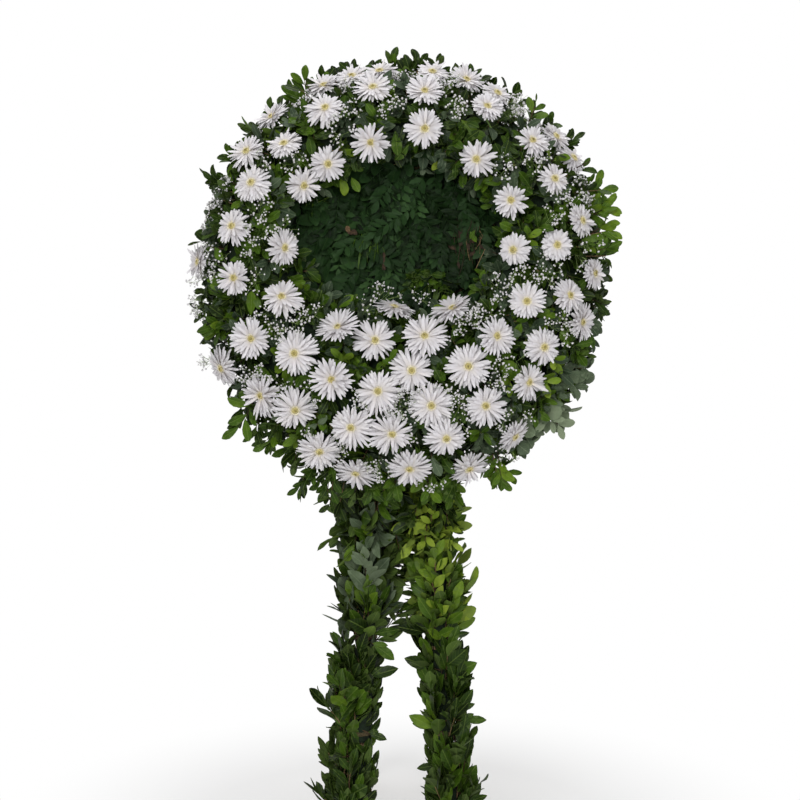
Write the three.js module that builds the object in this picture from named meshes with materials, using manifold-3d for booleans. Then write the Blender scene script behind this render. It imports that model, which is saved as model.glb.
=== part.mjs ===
// A standing memorial wreath: white gerberas in a domed ring of leaves, round an off-centre field of darker
// leaves, on a trestle stand of nailed battens whose front legs are dressed with leafy bunches.
// Millimetres, +Z up, the flowers face -Y. The origin is on the floor under the middle of the object.
import * as THREE from "three";
import { mergeVertices } from "three/addons/utils/BufferGeometryUtils.js";
import Module from "manifold-3d";

const wasm = await Module();
wasm.setup();

const { degToRad, lerp, clamp } = THREE.MathUtils;
const LEFT = -1;
const RIGHT = 1;
const SIDES = [[LEFT, "left"], [RIGHT, "right"]];
const FULL_TURN = 2 * Math.PI;

// ---- Driving dimensions ------------------------------------------------------------------------

const GAP = 0.35; // clearance between pieces that touch

const BATTEN = { wide: 40, deep: 26 }; // the legs' section, across and along the depth
const RAIL = { thick: 24, length: 520, fromMiddle: 210 };

const STAND = {
  lean: degToRad(8.5), // the front legs lean back by this much
  frontFootY: -264,
  rearFootY: 370,
  frontTop: 1790,
  rearTop: 1735,
  footSpan: 232, // between the two front feet's middles
  topSpan: 60, // between the same legs' middles at their top
  rearRun: 0.187, // how far a rear leg comes forward for each millimetre that it rises
  topBlock: { low: 1640, high: 1725, width: 104 },
  sideBrace: { low: 330, high: 366 },
  stretcher: { height: 900, overhang: 45 },
};

const WREATH_HEIGHT = 1400; // floor to the middle of the wreath's back
const CORE = { radius: 350, thick: 80, rounding: 16 };
const RING = { outer: 452, axis: 88, crown: 108 }; // rim radius, height of its widest line, dome
const SKIRT = { under: 3, from: 34, inset: 42 }; // how the ring tucks in behind the core's edge
const FIELD = { x: -15, y: 100, rx: 225, ry: 165, edge: 92, middle: 108 }; // inside the flowers
const SECTORS = 6;
const SECTOR_STEPS = 5;

const HEAD = { lift: 46, small: 46, large: 51, notch: 0.74, eye: 9, rise: 6, calyx: 14 };
const LOW_HEADS = { below: -60, growth: 1.1 }; // the flowers low on the ring are larger
const RIGHT_HEADS = { from: 190, growth: 0.95 }; // and those on its right a little smaller
const PETAL_LOBES = 11;
const STEM_RADIUS = 2.6;
const PICK_DEPTH = 24; // how deep a wired pick goes into the leaves
const FLOWER_CLEARANCE = 62; // leaves stay this far from a flower's middle

const LEAF = { length: 84, width: 34, thick: 4, droop: 0.25, widest: 0.52 };
const FIELD_LEAF = { length: 62, width: 24 };
const BUNCHES = 3; // leafy bunches on each front leg
const BUNCH = { bottom: 62, top: 752, profile: [[30, 0], [44, 0], [36, 0]], blades: 14, tilt: [46, 76] };
const COLLAR = { top: 990, profile: [[40, 0], [72, 22], [70, 26]], blades: 16, tilt: [-70, -20] };
const SLEEVE_SIDES = 8;
const GOLDEN_ANGLE = 2.39996;

// Each pick carries one to three flowers: [right, up] from the wreath's middle, then, where the flower
// turns away from the dome's own slope, how far it nods up and turns right in degrees.
const PICKS = [
  [[-180, 385]],
  [[50, 335]],
  [[-75, 305, -5, -12]],
  [[-275, 300, 22, 0]],
  [[-350, 210, 8, 0]],
  [[-395, 110]],
  [[-275, 60, 0, 15]],
  [[-280, -55, 24, 0]],
  [[170, 265]],
  [[285, -65]],
  [[215, -145, 0, 28]],
  [[-150, -125, 34, -36]],
  [[-70, 435], [50, 425]],
  [[-365, 290, -8, 16], [-310, 380, -14, 6]],
  [[-175, 255, 5, 8], [-230, 205]],
  [[50, -145, 6, 0], [-65, -155]],
  [[-20, -75, 30, 10], [115, -80, 40, 0]],
  [[385, -50, 12, 8], [415, -110, 0, 18]],
  [[-330, -280, 0, -8], [-250, -315, 0, 26]],
  [[-250, -185], [-165, -245]],
  [[195, 390], [300, 310]],
  [[325, -170, 0, 6], [290, -250, 0, 20]],
  [[190, -305], [150, -215]],
  [[155, -450], [260, -375, 0, 24]],
  [[-390, -10], [-480, 35]],
  [[-350, -150], [-425, -215]],
  [[250, 170], [255, 55]],
  [[-190, 462, -24, 0], [-122, 480, -30, 8], [-55, 490, -24, 0]],
  [[70, 492, -30, 0], [150, 470, -34, 0], [222, 435, -26, 0]],
  [[20, -225], [-58, -272], [65, -305]],
  [[-25, -370], [100, -380], [15, -450]],
  [[362, 335, -22, -14], [405, 285, -6, -24], [350, 220]],
  [[-120, -355], [-195, -410, 8, 24], [-110, -460]],
  [[415, 125, 0, 12], [445, 5, 0, 10], [355, 65]],
];

const MATERIALS = {
  batten: { color: 0xb08a5c, roughness: 0.85 },
  straw: { color: 0xb79a5e, roughness: 0.95 },
  leaf: { color: 0x3a5a1e, roughness: 0.5 },
  dark_leaf: { color: 0x1c3a22, roughness: 0.55 },
  petal: { color: 0xeeeaf0, roughness: 0.6 },
};

// ---- Small tools -------------------------------------------------------------------------------

// A repeatable number from 0 to 1 for the n-th draw.
function draw(n) {
  const s = Math.sin(n * 127.1 + 11.7) * 43758.5453;
  return s - Math.floor(s);
}

function between(low, high, n) {
  return lerp(low, high, draw(n));
}

// A unit vector in the XY plane.
function heading(angle) {
  return new THREE.Vector3(Math.cos(angle), Math.sin(angle), 0);
}

// A manifold solid from a three.js geometry.
function solidOf(geometry) {
  const bare = geometry.clone();
  bare.deleteAttribute("normal");
  bare.deleteAttribute("uv");
  const merged = mergeVertices(bare, 1e-4);
  return new wasm.Manifold(
    new wasm.Mesh({
      numProp: 3,
      vertProperties: new Float32Array(merged.attributes.position.array),
      triVerts: new Uint32Array(merged.index.array),
    }),
  );
}

// A manifold solid from corner points and faces given as corner numbers.
function solidFrom(points, faces) {
  const geometry = new THREE.BufferGeometry().setFromPoints(points);
  geometry.setIndex(faces.flat());
  return solidOf(geometry);
}

function geometryOf(solid) {
  const mesh = solid.getMesh();
  const geometry = new THREE.BufferGeometry();
  const positions = new Float32Array(mesh.vertProperties);
  geometry.setAttribute("position", new THREE.BufferAttribute(positions, 3));
  geometry.setIndex(new THREE.BufferAttribute(new Uint32Array(mesh.triVerts), 1));
  geometry.computeVertexNormals();
  return geometry;
}

// Skins a stack of rings, each with the same number of points, and closes both ends. The rings run
// against the clock when seen from the last ring's side.
function skinned(rings, cap) {
  const count = rings[0].length;
  const faces = [];
  for (let ring = 0; ring + 1 < rings.length; ring++) {
    for (let i = 0; i < count; i++) {
      const j = (i + 1) % count;
      const [a, b] = [ring * count + i, ring * count + j];
      faces.push([a, b, b + count], [a, b + count, a + count]);
    }
  }
  const last = (rings.length - 1) * count;
  for (const [a, b, c] of cap) {
    faces.push([c, b, a], [last + a, last + b, last + c]);
  }
  return solidFrom(rings.flat(), faces);
}

// The faces of a flat fan over a convex ring of points.
function fanFaces(count) {
  return Array.from({ length: count - 2 }, (_, i) => [0, i + 1, i + 2]);
}

// The faces of a flat cap over any simple outline, turning the same way as the outline does.
function capFaces(outline) {
  const turns = Math.sign(THREE.ShapeUtils.area(outline));
  return THREE.ShapeUtils.triangulateShape(outline, []).map((face) => {
    const turnsToo = Math.sign(THREE.ShapeUtils.area(face.map((i) => outline[i]))) === turns;
    return turnsToo ? face : [...face].reverse();
  });
}

// A straight round rod between two points, longer by grow at each end.
function rod(from, to, radius, sides, grow) {
  const length = from.distanceTo(to) + 2 * grow;
  const geometry = new THREE.CylinderGeometry(radius + grow, radius + grow, length, sides);
  const along = to.clone().sub(from).normalize();
  geometry.applyQuaternion(new THREE.Quaternion().setFromUnitVectors(new THREE.Vector3(0, 1, 0), along));
  const middle = from.clone().lerp(to, 0.5);
  geometry.translate(middle.x, middle.y, middle.z);
  return solidOf(geometry);
}

// A leaf blade: a lozenge with a little thickness along its midrib, drooping towards the tip.
function blade(root, along, face, length, width, grow) {
  const direction = along.clone().normalize();
  const side = new THREE.Vector3().crossVectors(face, direction).normalize();
  const top = new THREE.Vector3().crossVectors(direction, side);
  const at = (forward, across, rise) => {
    const point = root.clone().addScaledVector(direction, forward);
    return point.addScaledVector(side, across).addScaledVector(top, rise);
  };
  const belly = length * LEAF.widest;
  const tip = length + grow;
  const halfWidth = width / 2 + grow;
  const halfThick = LEAF.thick / 2 + grow;
  const points = [
    at(-grow, 0, 0),
    at(tip, 0, -LEAF.droop * (tip - belly)),
    at(belly, halfWidth, 0),
    at(belly, -halfWidth, 0),
    at(belly, 0, halfThick),
    at(belly, 0, -halfThick),
  ];
  const [ROOT, TIP, SIDE_A, SIDE_B, ABOVE, BELOW] = [0, 1, 2, 3, 4, 5];
  return solidFrom(points, [
    [ROOT, ABOVE, SIDE_A], [ABOVE, TIP, SIDE_A], [ROOT, SIDE_B, ABOVE], [ABOVE, SIDE_B, TIP],
    [ROOT, SIDE_A, BELOW], [BELOW, SIDE_A, TIP], [ROOT, BELOW, SIDE_B], [BELOW, TIP, SIDE_B],
  ]);
}

// ---- The stand ---------------------------------------------------------------------------------

// The middle of a front leg at a height above the floor.
function frontLegAt(side, height) {
  const span = lerp(STAND.footSpan, STAND.topSpan, height / STAND.frontTop);
  return new THREE.Vector3((side * span) / 2, STAND.frontFootY + height * Math.tan(STAND.lean), height);
}

// The middle of a rear leg: it follows the front leg's spread, so that one stands behind the other.
function rearLegAt(side, height) {
  return frontLegAt(side, height).setY(STAND.rearFootY - height * STAND.rearRun);
}

// A batten whose two ends are level, from one middle to another.
function slantedBatten(bottom, top, grow) {
  const geometry = new THREE.BoxGeometry(BATTEN.wide + 2 * grow, BATTEN.deep + 2 * grow, 1);
  const run = top.clone().sub(bottom);
  const middle = bottom.clone().lerp(top, 0.5);
  geometry.applyMatrix4(
    new THREE.Matrix4().set(
      1, 0, run.x, middle.x,
      0, 1, run.y, middle.y,
      0, 0, run.z, middle.z,
      0, 0, 0, 1,
    ),
  );
  return solidOf(geometry);
}

function frontLeg(side, grow) {
  return slantedBatten(frontLegAt(side, 0), frontLegAt(side, STAND.frontTop), grow);
}

function rearLeg(side, grow) {
  return slantedBatten(rearLegAt(side, 0), rearLegAt(side, STAND.rearTop), grow);
}

// A block or brace that fills the depth between the front and rear legs, between two heights.
function depthBlock(low, high, centreX, width, grow) {
  const clearance = BATTEN.deep / 2 + 1.5 * GAP - grow;
  const front = (height) => frontLegAt(RIGHT, height).y + clearance;
  const rear = (height) => rearLegAt(RIGHT, height).y - clearance;
  const outline = new THREE.Shape([
    new THREE.Vector2(front(low), low - grow),
    new THREE.Vector2(rear(low), low - grow),
    new THREE.Vector2(rear(high), high + grow),
    new THREE.Vector2(front(high), high + grow),
  ]);
  const depth = width + 2 * grow;
  const geometry = new THREE.ExtrudeGeometry(outline, { depth, bevelEnabled: false });
  // The shape is drawn in Y and Z: turn it upright and run its depth along X.
  const [acrossX, alongY, upZ] = [0, 1, 2].map((axis) => new THREE.Vector3().setComponent(axis, 1));
  geometry.applyMatrix4(new THREE.Matrix4().makeBasis(alongY, upZ, acrossX));
  geometry.translate(centreX - depth / 2, 0, 0);
  return solidOf(geometry);
}

function topBlock(grow) {
  return depthBlock(STAND.topBlock.low, STAND.topBlock.high, 0, STAND.topBlock.width, grow);
}

function sideBrace(side, grow) {
  const { low, high } = STAND.sideBrace;
  return depthBlock(low, high, frontLegAt(side, (low + high) / 2).x, BATTEN.deep, grow);
}

// A level batten lying flat, with its width upright.
function levelBatten(length, grow) {
  return new THREE.BoxGeometry(length + 2 * grow, RAIL.thick + 2 * grow, BATTEN.wide + 2 * grow);
}

// The stretcher lies against the back of the rear legs.
function rearStretcher(grow) {
  const { height, overhang } = STAND.stretcher;
  const middle = rearLegAt(RIGHT, height);
  const slope = Math.atan(STAND.rearRun);
  const geometry = levelBatten(2 * (middle.x + overhang), grow);
  geometry.rotateX(slope);
  const away = (BATTEN.deep / 2) * Math.cos(slope) + RAIL.thick / 2 + GAP;
  geometry.translate(0, middle.y + away * Math.cos(slope), height + away * Math.sin(slope));
  return solidOf(geometry);
}

// ---- The wreath's own frame: x right, y up its face, z towards the viewer, zero on the core's back ----

function wreathFrame() {
  const facing = new THREE.Vector3(0, -Math.cos(STAND.lean), Math.sin(STAND.lean));
  const frame = new THREE.Group();
  frame.position.set(0, frontLegAt(RIGHT, WREATH_HEIGHT).y - BATTEN.deep / 2, WREATH_HEIGHT);
  frame.position.addScaledVector(facing, RAIL.thick + 2 * GAP);
  frame.rotation.x = Math.PI / 2 - STAND.lean;
  frame.updateMatrixWorld(true);
  return frame;
}

// A level rail, nailed across the front legs, that carries the core.
function wreathRail(up, grow) {
  const geometry = levelBatten(RAIL.length, grow);
  geometry.rotateX(Math.PI / 2);
  geometry.translate(0, up, -RAIL.thick / 2 - GAP);
  return solidOf(geometry);
}

function strawCore(grow) {
  const { radius, thick, rounding } = CORE;
  const profile = [
    [0, -grow],
    [radius - rounding, -grow],
    [radius + grow, rounding],
    [radius + grow, thick - rounding],
    [radius - rounding, thick + grow],
    [0, thick + grow],
  ];
  const geometry = new THREE.LatheGeometry(profile.map(([r, z]) => new THREE.Vector2(r, z)), 24);
  geometry.rotateX(Math.PI / 2);
  return solidOf(geometry);
}

// Distance from the wreath's middle to the edge of the leafy field, in a direction.
function fieldEdge(direction) {
  const [c, s] = [Math.cos(direction), Math.sin(direction)];
  const a = (c / FIELD.rx) ** 2 + (s / FIELD.ry) ** 2;
  const b = (c * FIELD.x) / FIELD.rx ** 2 + (s * FIELD.y) / FIELD.ry ** 2;
  const k = (FIELD.x / FIELD.rx) ** 2 + (FIELD.y / FIELD.ry) ** 2 - 1;
  return (b + Math.sqrt(b * b - a * k)) / a;
}

// The domed ring: a point at a direction, at an angle across it (0 at the rim, 90 degrees on the crown,
// 180 at the field) and at a height above its leaves, with the way that it faces.
function ringPoint(direction, across, lift) {
  const inner = fieldEdge(direction);
  const half = (RING.outer - inner) / 2 + lift;
  const rise = RING.crown + lift;
  const r = (RING.outer + inner) / 2 + half * Math.cos(across);
  const point = heading(direction).multiplyScalar(r).setZ(RING.axis + rise * Math.sin(across));
  const normal = heading(direction).multiplyScalar(Math.cos(across) / half);
  normal.setZ(Math.sin(across) / rise).normalize();
  return { point, normal };
}

// The same point from where it shows in the wreath's face.
function ringPointOver(x, y, lift) {
  const direction = Math.atan2(y, x);
  const inner = fieldEdge(direction);
  const half = (RING.outer - inner) / 2 + lift;
  const share = (Math.hypot(x, y) - (RING.outer + inner) / 2) / half;
  return ringPoint(direction, Math.acos(clamp(share, -0.97, 0.97)), lift);
}

// ---- Flowers -----------------------------------------------------------------------------------

// Where a flower's middle is, which way it faces and how wide it is.
function flowerPose([x, y, nod = 0, turn = 0], number) {
  const { point, normal } = ringPointOver(x, y, HEAD.lift);
  const facing = normal.clone();
  facing.applyAxisAngle(new THREE.Vector3(1, 0, 0), degToRad(-nod));
  facing.applyAxisAngle(new THREE.Vector3(0, 1, 0), degToRad(turn));
  const lowGrowth = y < LOW_HEADS.below ? LOW_HEADS.growth : 1;
  const rightGrowth = x > RIGHT_HEADS.from ? RIGHT_HEADS.growth : 1;
  const radius = between(HEAD.small, HEAD.large, number) * lowGrowth * rightGrowth;
  return { point, normal, facing, radius, spin: draw(number + 300) };
}

// A shallow star of petals round a raised eye, with the calyx behind.
function flowerHead(pose, grow) {
  const turned = (i, r, z) => {
    const angle = ((i + pose.spin) / PETAL_LOBES) * FULL_TURN;
    return heading(angle).multiplyScalar(r).setZ(z);
  };
  const points = [turned(0, 0, HEAD.eye + grow), turned(0, 0, -HEAD.calyx - grow)];
  const [EYE, CALYX, FIRST] = [0, 1, 2];
  for (let i = 0; i < PETAL_LOBES; i++) {
    points.push(turned(i, pose.radius + grow, HEAD.rise));
    points.push(turned(i + 0.5, pose.radius * HEAD.notch + grow, HEAD.rise / 2));
  }
  const faces = [];
  for (let i = 0; i < PETAL_LOBES; i++) {
    const [tip, notch] = [FIRST + 2 * i, FIRST + 2 * i + 1];
    const nextTip = FIRST + 2 * ((i + 1) % PETAL_LOBES);
    faces.push([EYE, tip, notch], [EYE, notch, nextTip], [CALYX, notch, tip], [CALYX, nextTip, notch]);
  }
  const turn = new THREE.Quaternion().setFromUnitVectors(new THREE.Vector3(0, 0, 1), pose.facing);
  const place = new THREE.Matrix4().compose(pose.point, turn, new THREE.Vector3(1, 1, 1));
  return solidFrom(points, faces).transform(place.elements);
}

// One wired pick: its flowers' stems meet inside the leaves.
function gerberaPick(poses, grow) {
  const foot = new THREE.Vector3();
  const inward = new THREE.Vector3();
  for (const pose of poses) {
    foot.add(pose.point.clone().addScaledVector(pose.normal, -HEAD.lift));
    inward.sub(pose.normal);
  }
  foot.divideScalar(poses.length).addScaledVector(inward.normalize(), PICK_DEPTH);
  const parts = [];
  for (const pose of poses) {
    const neck = pose.point.clone().addScaledVector(pose.facing, -HEAD.calyx / 2);
    parts.push(flowerHead(pose, grow), rod(neck, foot, STEM_RADIUS, 5, grow));
  }
  return wasm.Manifold.union(parts);
}

// ---- Leaves on the wreath ----------------------------------------------------------------------

// One cross-section of the leafy ring, which wraps round the core's edge, moved sideways along the ring.
function ringSection(direction, seed, grow, sideways) {
  const points = [];
  const steps = 6;
  for (let i = 0; i <= steps; i++) {
    const bump = i > 0 && i < steps ? between(-11, 11, seed + i) : 0;
    points.push(ringPoint(direction, Math.PI * (1 - i / steps), bump + grow).point);
  }
  const insideEdge = CORE.radius + SKIRT.under - grow;
  const overCore = CORE.thick + 2 * GAP - grow;
  const back = [
    [RING.outer - SKIRT.inset / 4 + grow, SKIRT.from],
    [RING.outer - SKIRT.inset + grow, SKIRT.under - grow],
    [insideEdge, SKIRT.under - grow],
    [insideEdge, overCore],
    [fieldEdge(direction) + 1 - grow, overCore],
  ];
  for (const [r, z] of back) {
    points.push(heading(direction).multiplyScalar(r).setZ(z));
  }
  const tangent = heading(direction + Math.PI / 2);
  return points.map((point) => point.addScaledVector(tangent, sideways));
}

function rimLeaf(direction, seed, grow) {
  const { point } = ringPoint(direction, degToRad(between(-4, 24, seed)), -16);
  const along = heading(direction + between(-0.55, 0.55, seed + 1000));
  along.setZ(between(-0.35, 0.45, seed + 2000));
  const length = between(0.85, 1.05, seed + 3000) * LEAF.length;
  return blade(point, along, new THREE.Vector3(0, 0, 1), length, LEAF.width, grow);
}

// A leaf on the ring's face, or nothing where a flower covers the place.
function faceLeaf(direction, seed, flowers, grow) {
  const { point, normal } = ringPoint(direction, degToRad(between(48, 150, seed + 1000)), -12);
  const along = heading(between(0, FULL_TURN, seed + 2000)).addScaledVector(normal, 0.55);
  const middle = point.clone().addScaledVector(along, LEAF.length / 2);
  if (flowers.some((pose) => pose.point.distanceTo(middle) < FLOWER_CLEARANCE)) {
    return [];
  }
  return [blade(point, along, normal, 0.85 * LEAF.length, LEAF.width, grow)];
}

function ringFoliage(sector, flowers, grow) {
  const wedge = FULL_TURN / SECTORS;
  const start = sector * wedge;
  const sections = [];
  for (let i = 0; i <= SECTOR_STEPS; i++) {
    const atEnd = i === 0 ? 1 : i === SECTOR_STEPS ? -1 : 0;
    const direction = start + (i / SECTOR_STEPS) * wedge;
    sections.push(ringSection(direction, sector * 97 + i * 13, grow, atEnd * (GAP - grow)));
  }
  const flat = sections[0].map((point) => new THREE.Vector2(Math.hypot(point.x, point.y), point.z));
  const parts = [skinned(sections, capFaces(flat))];
  const rimLeaves = 8;
  for (let i = 0; i < rimLeaves; i++) {
    parts.push(rimLeaf(start + ((i + 0.5) / rimLeaves) * wedge, 500 + sector * 40 + i, grow));
  }
  const faceLeaves = 12;
  for (let i = 0; i < faceLeaves; i++) {
    const seed = 5000 + sector * 60 + i;
    parts.push(...faceLeaf(start + between(0.06, 0.94, seed) * wedge, seed, flowers, grow));
  }
  return wasm.Manifold.union(parts);
}

// The dark field: a shallow mat on the core's face, with small leaves hanging down it.
function fieldFoliage(grow) {
  const around = 18;
  const ellipse = (share, z, bump) =>
    Array.from({ length: around }, (_, i) => {
      const out = heading((i / around) * FULL_TURN);
      const height = z + (bump ? between(-9, 9, 9000 + bump * 31 + i) : 0);
      const [rx, ry] = [FIELD.rx * share + grow, FIELD.ry * share + grow];
      return new THREE.Vector3(FIELD.x + rx * out.x, FIELD.y + ry * out.y, height);
    });
  const rings = [
    ellipse(0.985, CORE.thick + 2 * GAP - grow, 0),
    ellipse(0.985, FIELD.edge + grow, 0),
    ellipse(0.7, FIELD.middle + grow, 1),
    ellipse(0.3, FIELD.middle + grow, 2),
  ];
  const parts = [skinned(rings, fanFaces(around))];
  const leaves = 14;
  for (let i = 0; i < leaves; i++) {
    const out = heading(i * GOLDEN_ANGLE).multiplyScalar(Math.sqrt((i + 0.5) / leaves) * 0.72);
    const root = new THREE.Vector3(FIELD.x + FIELD.rx * out.x, FIELD.y + FIELD.ry * out.y, 0);
    root.z = FIELD.middle - 8;
    const along = new THREE.Vector3(between(-0.6, 0.6, 9500 + i), -1, between(0.35, 0.6, 9600 + i));
    const facing = new THREE.Vector3(0, 0, 1);
    parts.push(blade(root, along, facing, FIELD_LEAF.length, FIELD_LEAF.width, grow));
  }
  return wasm.Manifold.union(parts);
}

// ---- Leaves on the legs ------------------------------------------------------------------------

// A sleeve's radius and bulge at a share of its height.
function profileAt(profile, share) {
  const place = share * (profile.length - 1);
  const below = Math.floor(place);
  return profile[below].map((value, k) => lerp(value, profile[below + 1][k], place - below));
}

// A sleeve of leafy twigs round a front leg, its blades pointing up or hanging down. The profile lists,
// from the bottom to the top, the sleeve's radius and how far it bulges forward of the leg.
function legSleeve(side, low, high, { profile, blades, tilt }, seed, grow) {
  const rings = profile.map(([radius, forward], k) => {
    const share = k / (profile.length - 1);
    const middle = frontLegAt(side, lerp(low - grow, high + grow, share));
    return Array.from({ length: SLEEVE_SIDES }, (_, i) => {
      const bump = k === 1 ? between(-5, 5, seed + i) : 0;
      const out = heading(((i + 0.5) / SLEEVE_SIDES) * FULL_TURN).multiplyScalar(radius + grow + bump);
      return middle.clone().add(out).setY(middle.y + out.y - forward);
    });
  });
  const parts = [skinned(rings, fanFaces(SLEEVE_SIDES))];
  for (let i = 0; i < blades; i++) {
    const share = 0.12 + (0.8 * (i + 0.5)) / blades;
    const angle = i * GOLDEN_ANGLE + seed;
    const [radius, forward] = profileAt(profile, share);
    const root = frontLegAt(side, lerp(low, high, share)).addScaledVector(heading(angle), radius - 12);
    root.y -= forward;
    const rise = degToRad(between(tilt[0], tilt[1], seed + 50 + i));
    const along = heading(angle).multiplyScalar(Math.cos(rise)).setZ(Math.sin(rise));
    const face = heading(angle).multiplyScalar(-Math.sin(rise)).setZ(Math.cos(rise));
    face.addScaledVector(heading(angle + Math.PI / 2), between(-0.5, 0.5, seed + 90 + i));
    const length = between(0.85, 1.1, seed + 70 + i) * LEAF.length;
    parts.push(blade(root, along, face, length, LEAF.width, grow));
  }
  return wasm.Manifold.union(parts);
}

function legBunch(side, index, grow) {
  const step = (BUNCH.top - BUNCH.bottom) / BUNCHES;
  const low = BUNCH.bottom + index * step;
  return legSleeve(side, low + GAP, low + step - GAP, BUNCH, 40 * index + 7 * side + 20, grow);
}

function collarBunch(side, grow) {
  return legSleeve(side, BUNCH.top + GAP, COLLAR.top, COLLAR, 333 + 9 * side, grow);
}

// ---- Putting it together -----------------------------------------------------------------------

const group = new THREE.Group();
const wreath = wreathFrame();
group.add(wreath);

const kept = []; // the room, in the object's frame, that the pieces made so far need

function boxesMeet(a, b) {
  const [p, q] = [a.boundingBox(), b.boundingBox()];
  return [0, 1, 2].every((k) => p.min[k] <= q.max[k] && q.min[k] <= p.max[k]);
}

// Makes a piece, cuts away what is already taken, and hangs it in its group. A cut can leave crumbs,
// such as a leaf's very tip, so only the largest body stays.
function addPiece(parent, name, material, build) {
  const toObject = parent.matrixWorld.clone();
  let solid = build(0).transform(toObject.elements);
  const taken = kept.filter((room) => boxesMeet(room, solid));
  if (taken.length) {
    solid = solid.subtract(wasm.Manifold.union(taken));
  }
  kept.push(build(GAP).transform(toObject.elements));
  const [largest] = solid.decompose().sort((a, b) => b.volume() - a.volume());
  const mesh = new THREE.Mesh(
    geometryOf(largest.transform(toObject.invert().elements)),
    new THREE.MeshStandardMaterial({ ...MATERIALS[material], metalness: 0, flatShading: true }),
  );
  mesh.name = name;
  parent.add(mesh);
}

for (const [side, word] of SIDES) {
  addPiece(group, `front_leg_${word}`, "batten", (grow) => frontLeg(side, grow));
  addPiece(group, `rear_leg_${word}`, "batten", (grow) => rearLeg(side, grow));
  addPiece(group, `side_brace_${word}`, "batten", (grow) => sideBrace(side, grow));
}
addPiece(group, "top_block", "batten", topBlock);
addPiece(group, "rear_stretcher", "batten", rearStretcher);
addPiece(wreath, "wreath_rail_upper", "batten", (grow) => wreathRail(RAIL.fromMiddle, grow));
addPiece(wreath, "wreath_rail_lower", "batten", (grow) => wreathRail(-RAIL.fromMiddle, grow));
addPiece(wreath, "straw_core", "straw", strawCore);

const flowers = [];
PICKS.forEach((places, index) => {
  const poses = places.map((place, i) => flowerPose(place, flowers.length + i));
  flowers.push(...poses);
  const number = String(index + 1).padStart(2, "0");
  addPiece(wreath, `gerbera_pick_${number}`, "petal", (grow) => gerberaPick(poses, grow));
});

addPiece(wreath, "field_foliage", "dark_leaf", fieldFoliage);
for (let sector = 0; sector < SECTORS; sector++) {
  addPiece(wreath, `ring_foliage_${sector + 1}`, "leaf", (grow) => ringFoliage(sector, flowers, grow));
}
for (const [side, word] of SIDES) {
  addPiece(group, `collar_bunch_${word}`, "leaf", (grow) => collarBunch(side, grow));
  for (let index = 0; index < BUNCHES; index++) {
    const name = `leg_bunch_${word}_${index + 1}`;
    addPiece(group, name, "leaf", (grow) => legBunch(side, index, grow));
  }
}

export default group;
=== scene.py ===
import itertools
import math
import random

import bpy
import numpy as np
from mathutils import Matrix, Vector


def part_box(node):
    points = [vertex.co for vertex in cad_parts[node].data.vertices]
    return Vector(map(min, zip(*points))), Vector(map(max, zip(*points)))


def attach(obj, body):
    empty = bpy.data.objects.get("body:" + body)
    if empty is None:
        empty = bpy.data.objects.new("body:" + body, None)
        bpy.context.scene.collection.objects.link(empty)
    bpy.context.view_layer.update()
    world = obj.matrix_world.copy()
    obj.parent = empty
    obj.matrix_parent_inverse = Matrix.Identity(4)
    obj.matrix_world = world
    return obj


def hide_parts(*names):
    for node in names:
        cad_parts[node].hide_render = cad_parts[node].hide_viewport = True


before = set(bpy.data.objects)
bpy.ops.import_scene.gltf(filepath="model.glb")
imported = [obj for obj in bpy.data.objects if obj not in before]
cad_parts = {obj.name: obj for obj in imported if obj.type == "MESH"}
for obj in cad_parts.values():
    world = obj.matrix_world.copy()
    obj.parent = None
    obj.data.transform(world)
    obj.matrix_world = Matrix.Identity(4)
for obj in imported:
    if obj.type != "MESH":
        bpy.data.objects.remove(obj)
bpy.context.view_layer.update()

# A standing memorial wreath. Everything is in metres, +Z up, with the flowers facing -Y.

# ---- Driving sizes ------------------------------------------------------------------------------

MM = 0.001
BATTEN_WIDE = 40 * MM
BATTEN_DEEP = 26 * MM
CORE_RADIUS = 350 * MM
CORE_THICK = 80 * MM
RING_OUTER = 452 * MM  # the leafy ring's rim
RING_AXIS = 88 * MM  # its widest line above the core's back
RING_CROWN = 108 * MM  # the dome above that line
FIELD_X, FIELD_Y = -15 * MM, 100 * MM  # the leafy field inside the flowers
FIELD_RX, FIELD_RY = 225 * MM, 165 * MM
SECTORS = 6

HEAD_LIFT = 46 * MM
HEAD_SMALL, HEAD_LARGE = 46 * MM, 51 * MM
LOW_LINE, LOW_GROWTH = -60, 1.1  # the flowers below this line are larger
RIGHT_LINE, RIGHT_GROWTH = 190, 0.95  # and those right of this one a little smaller
PICK_DEPTH = 24 * MM

BUNCHES = 3
BUNCH_BOTTOM, BUNCH_TOP, COLLAR_TOP = 62 * MM, 752 * MM, 990 * MM
LEFT, RIGHT = -1, 1
SIDES = ((LEFT, "left"), (RIGHT, "right"))
FULL_TURN = 2 * math.pi
GOLDEN_ANGLE = 2.39996

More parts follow.
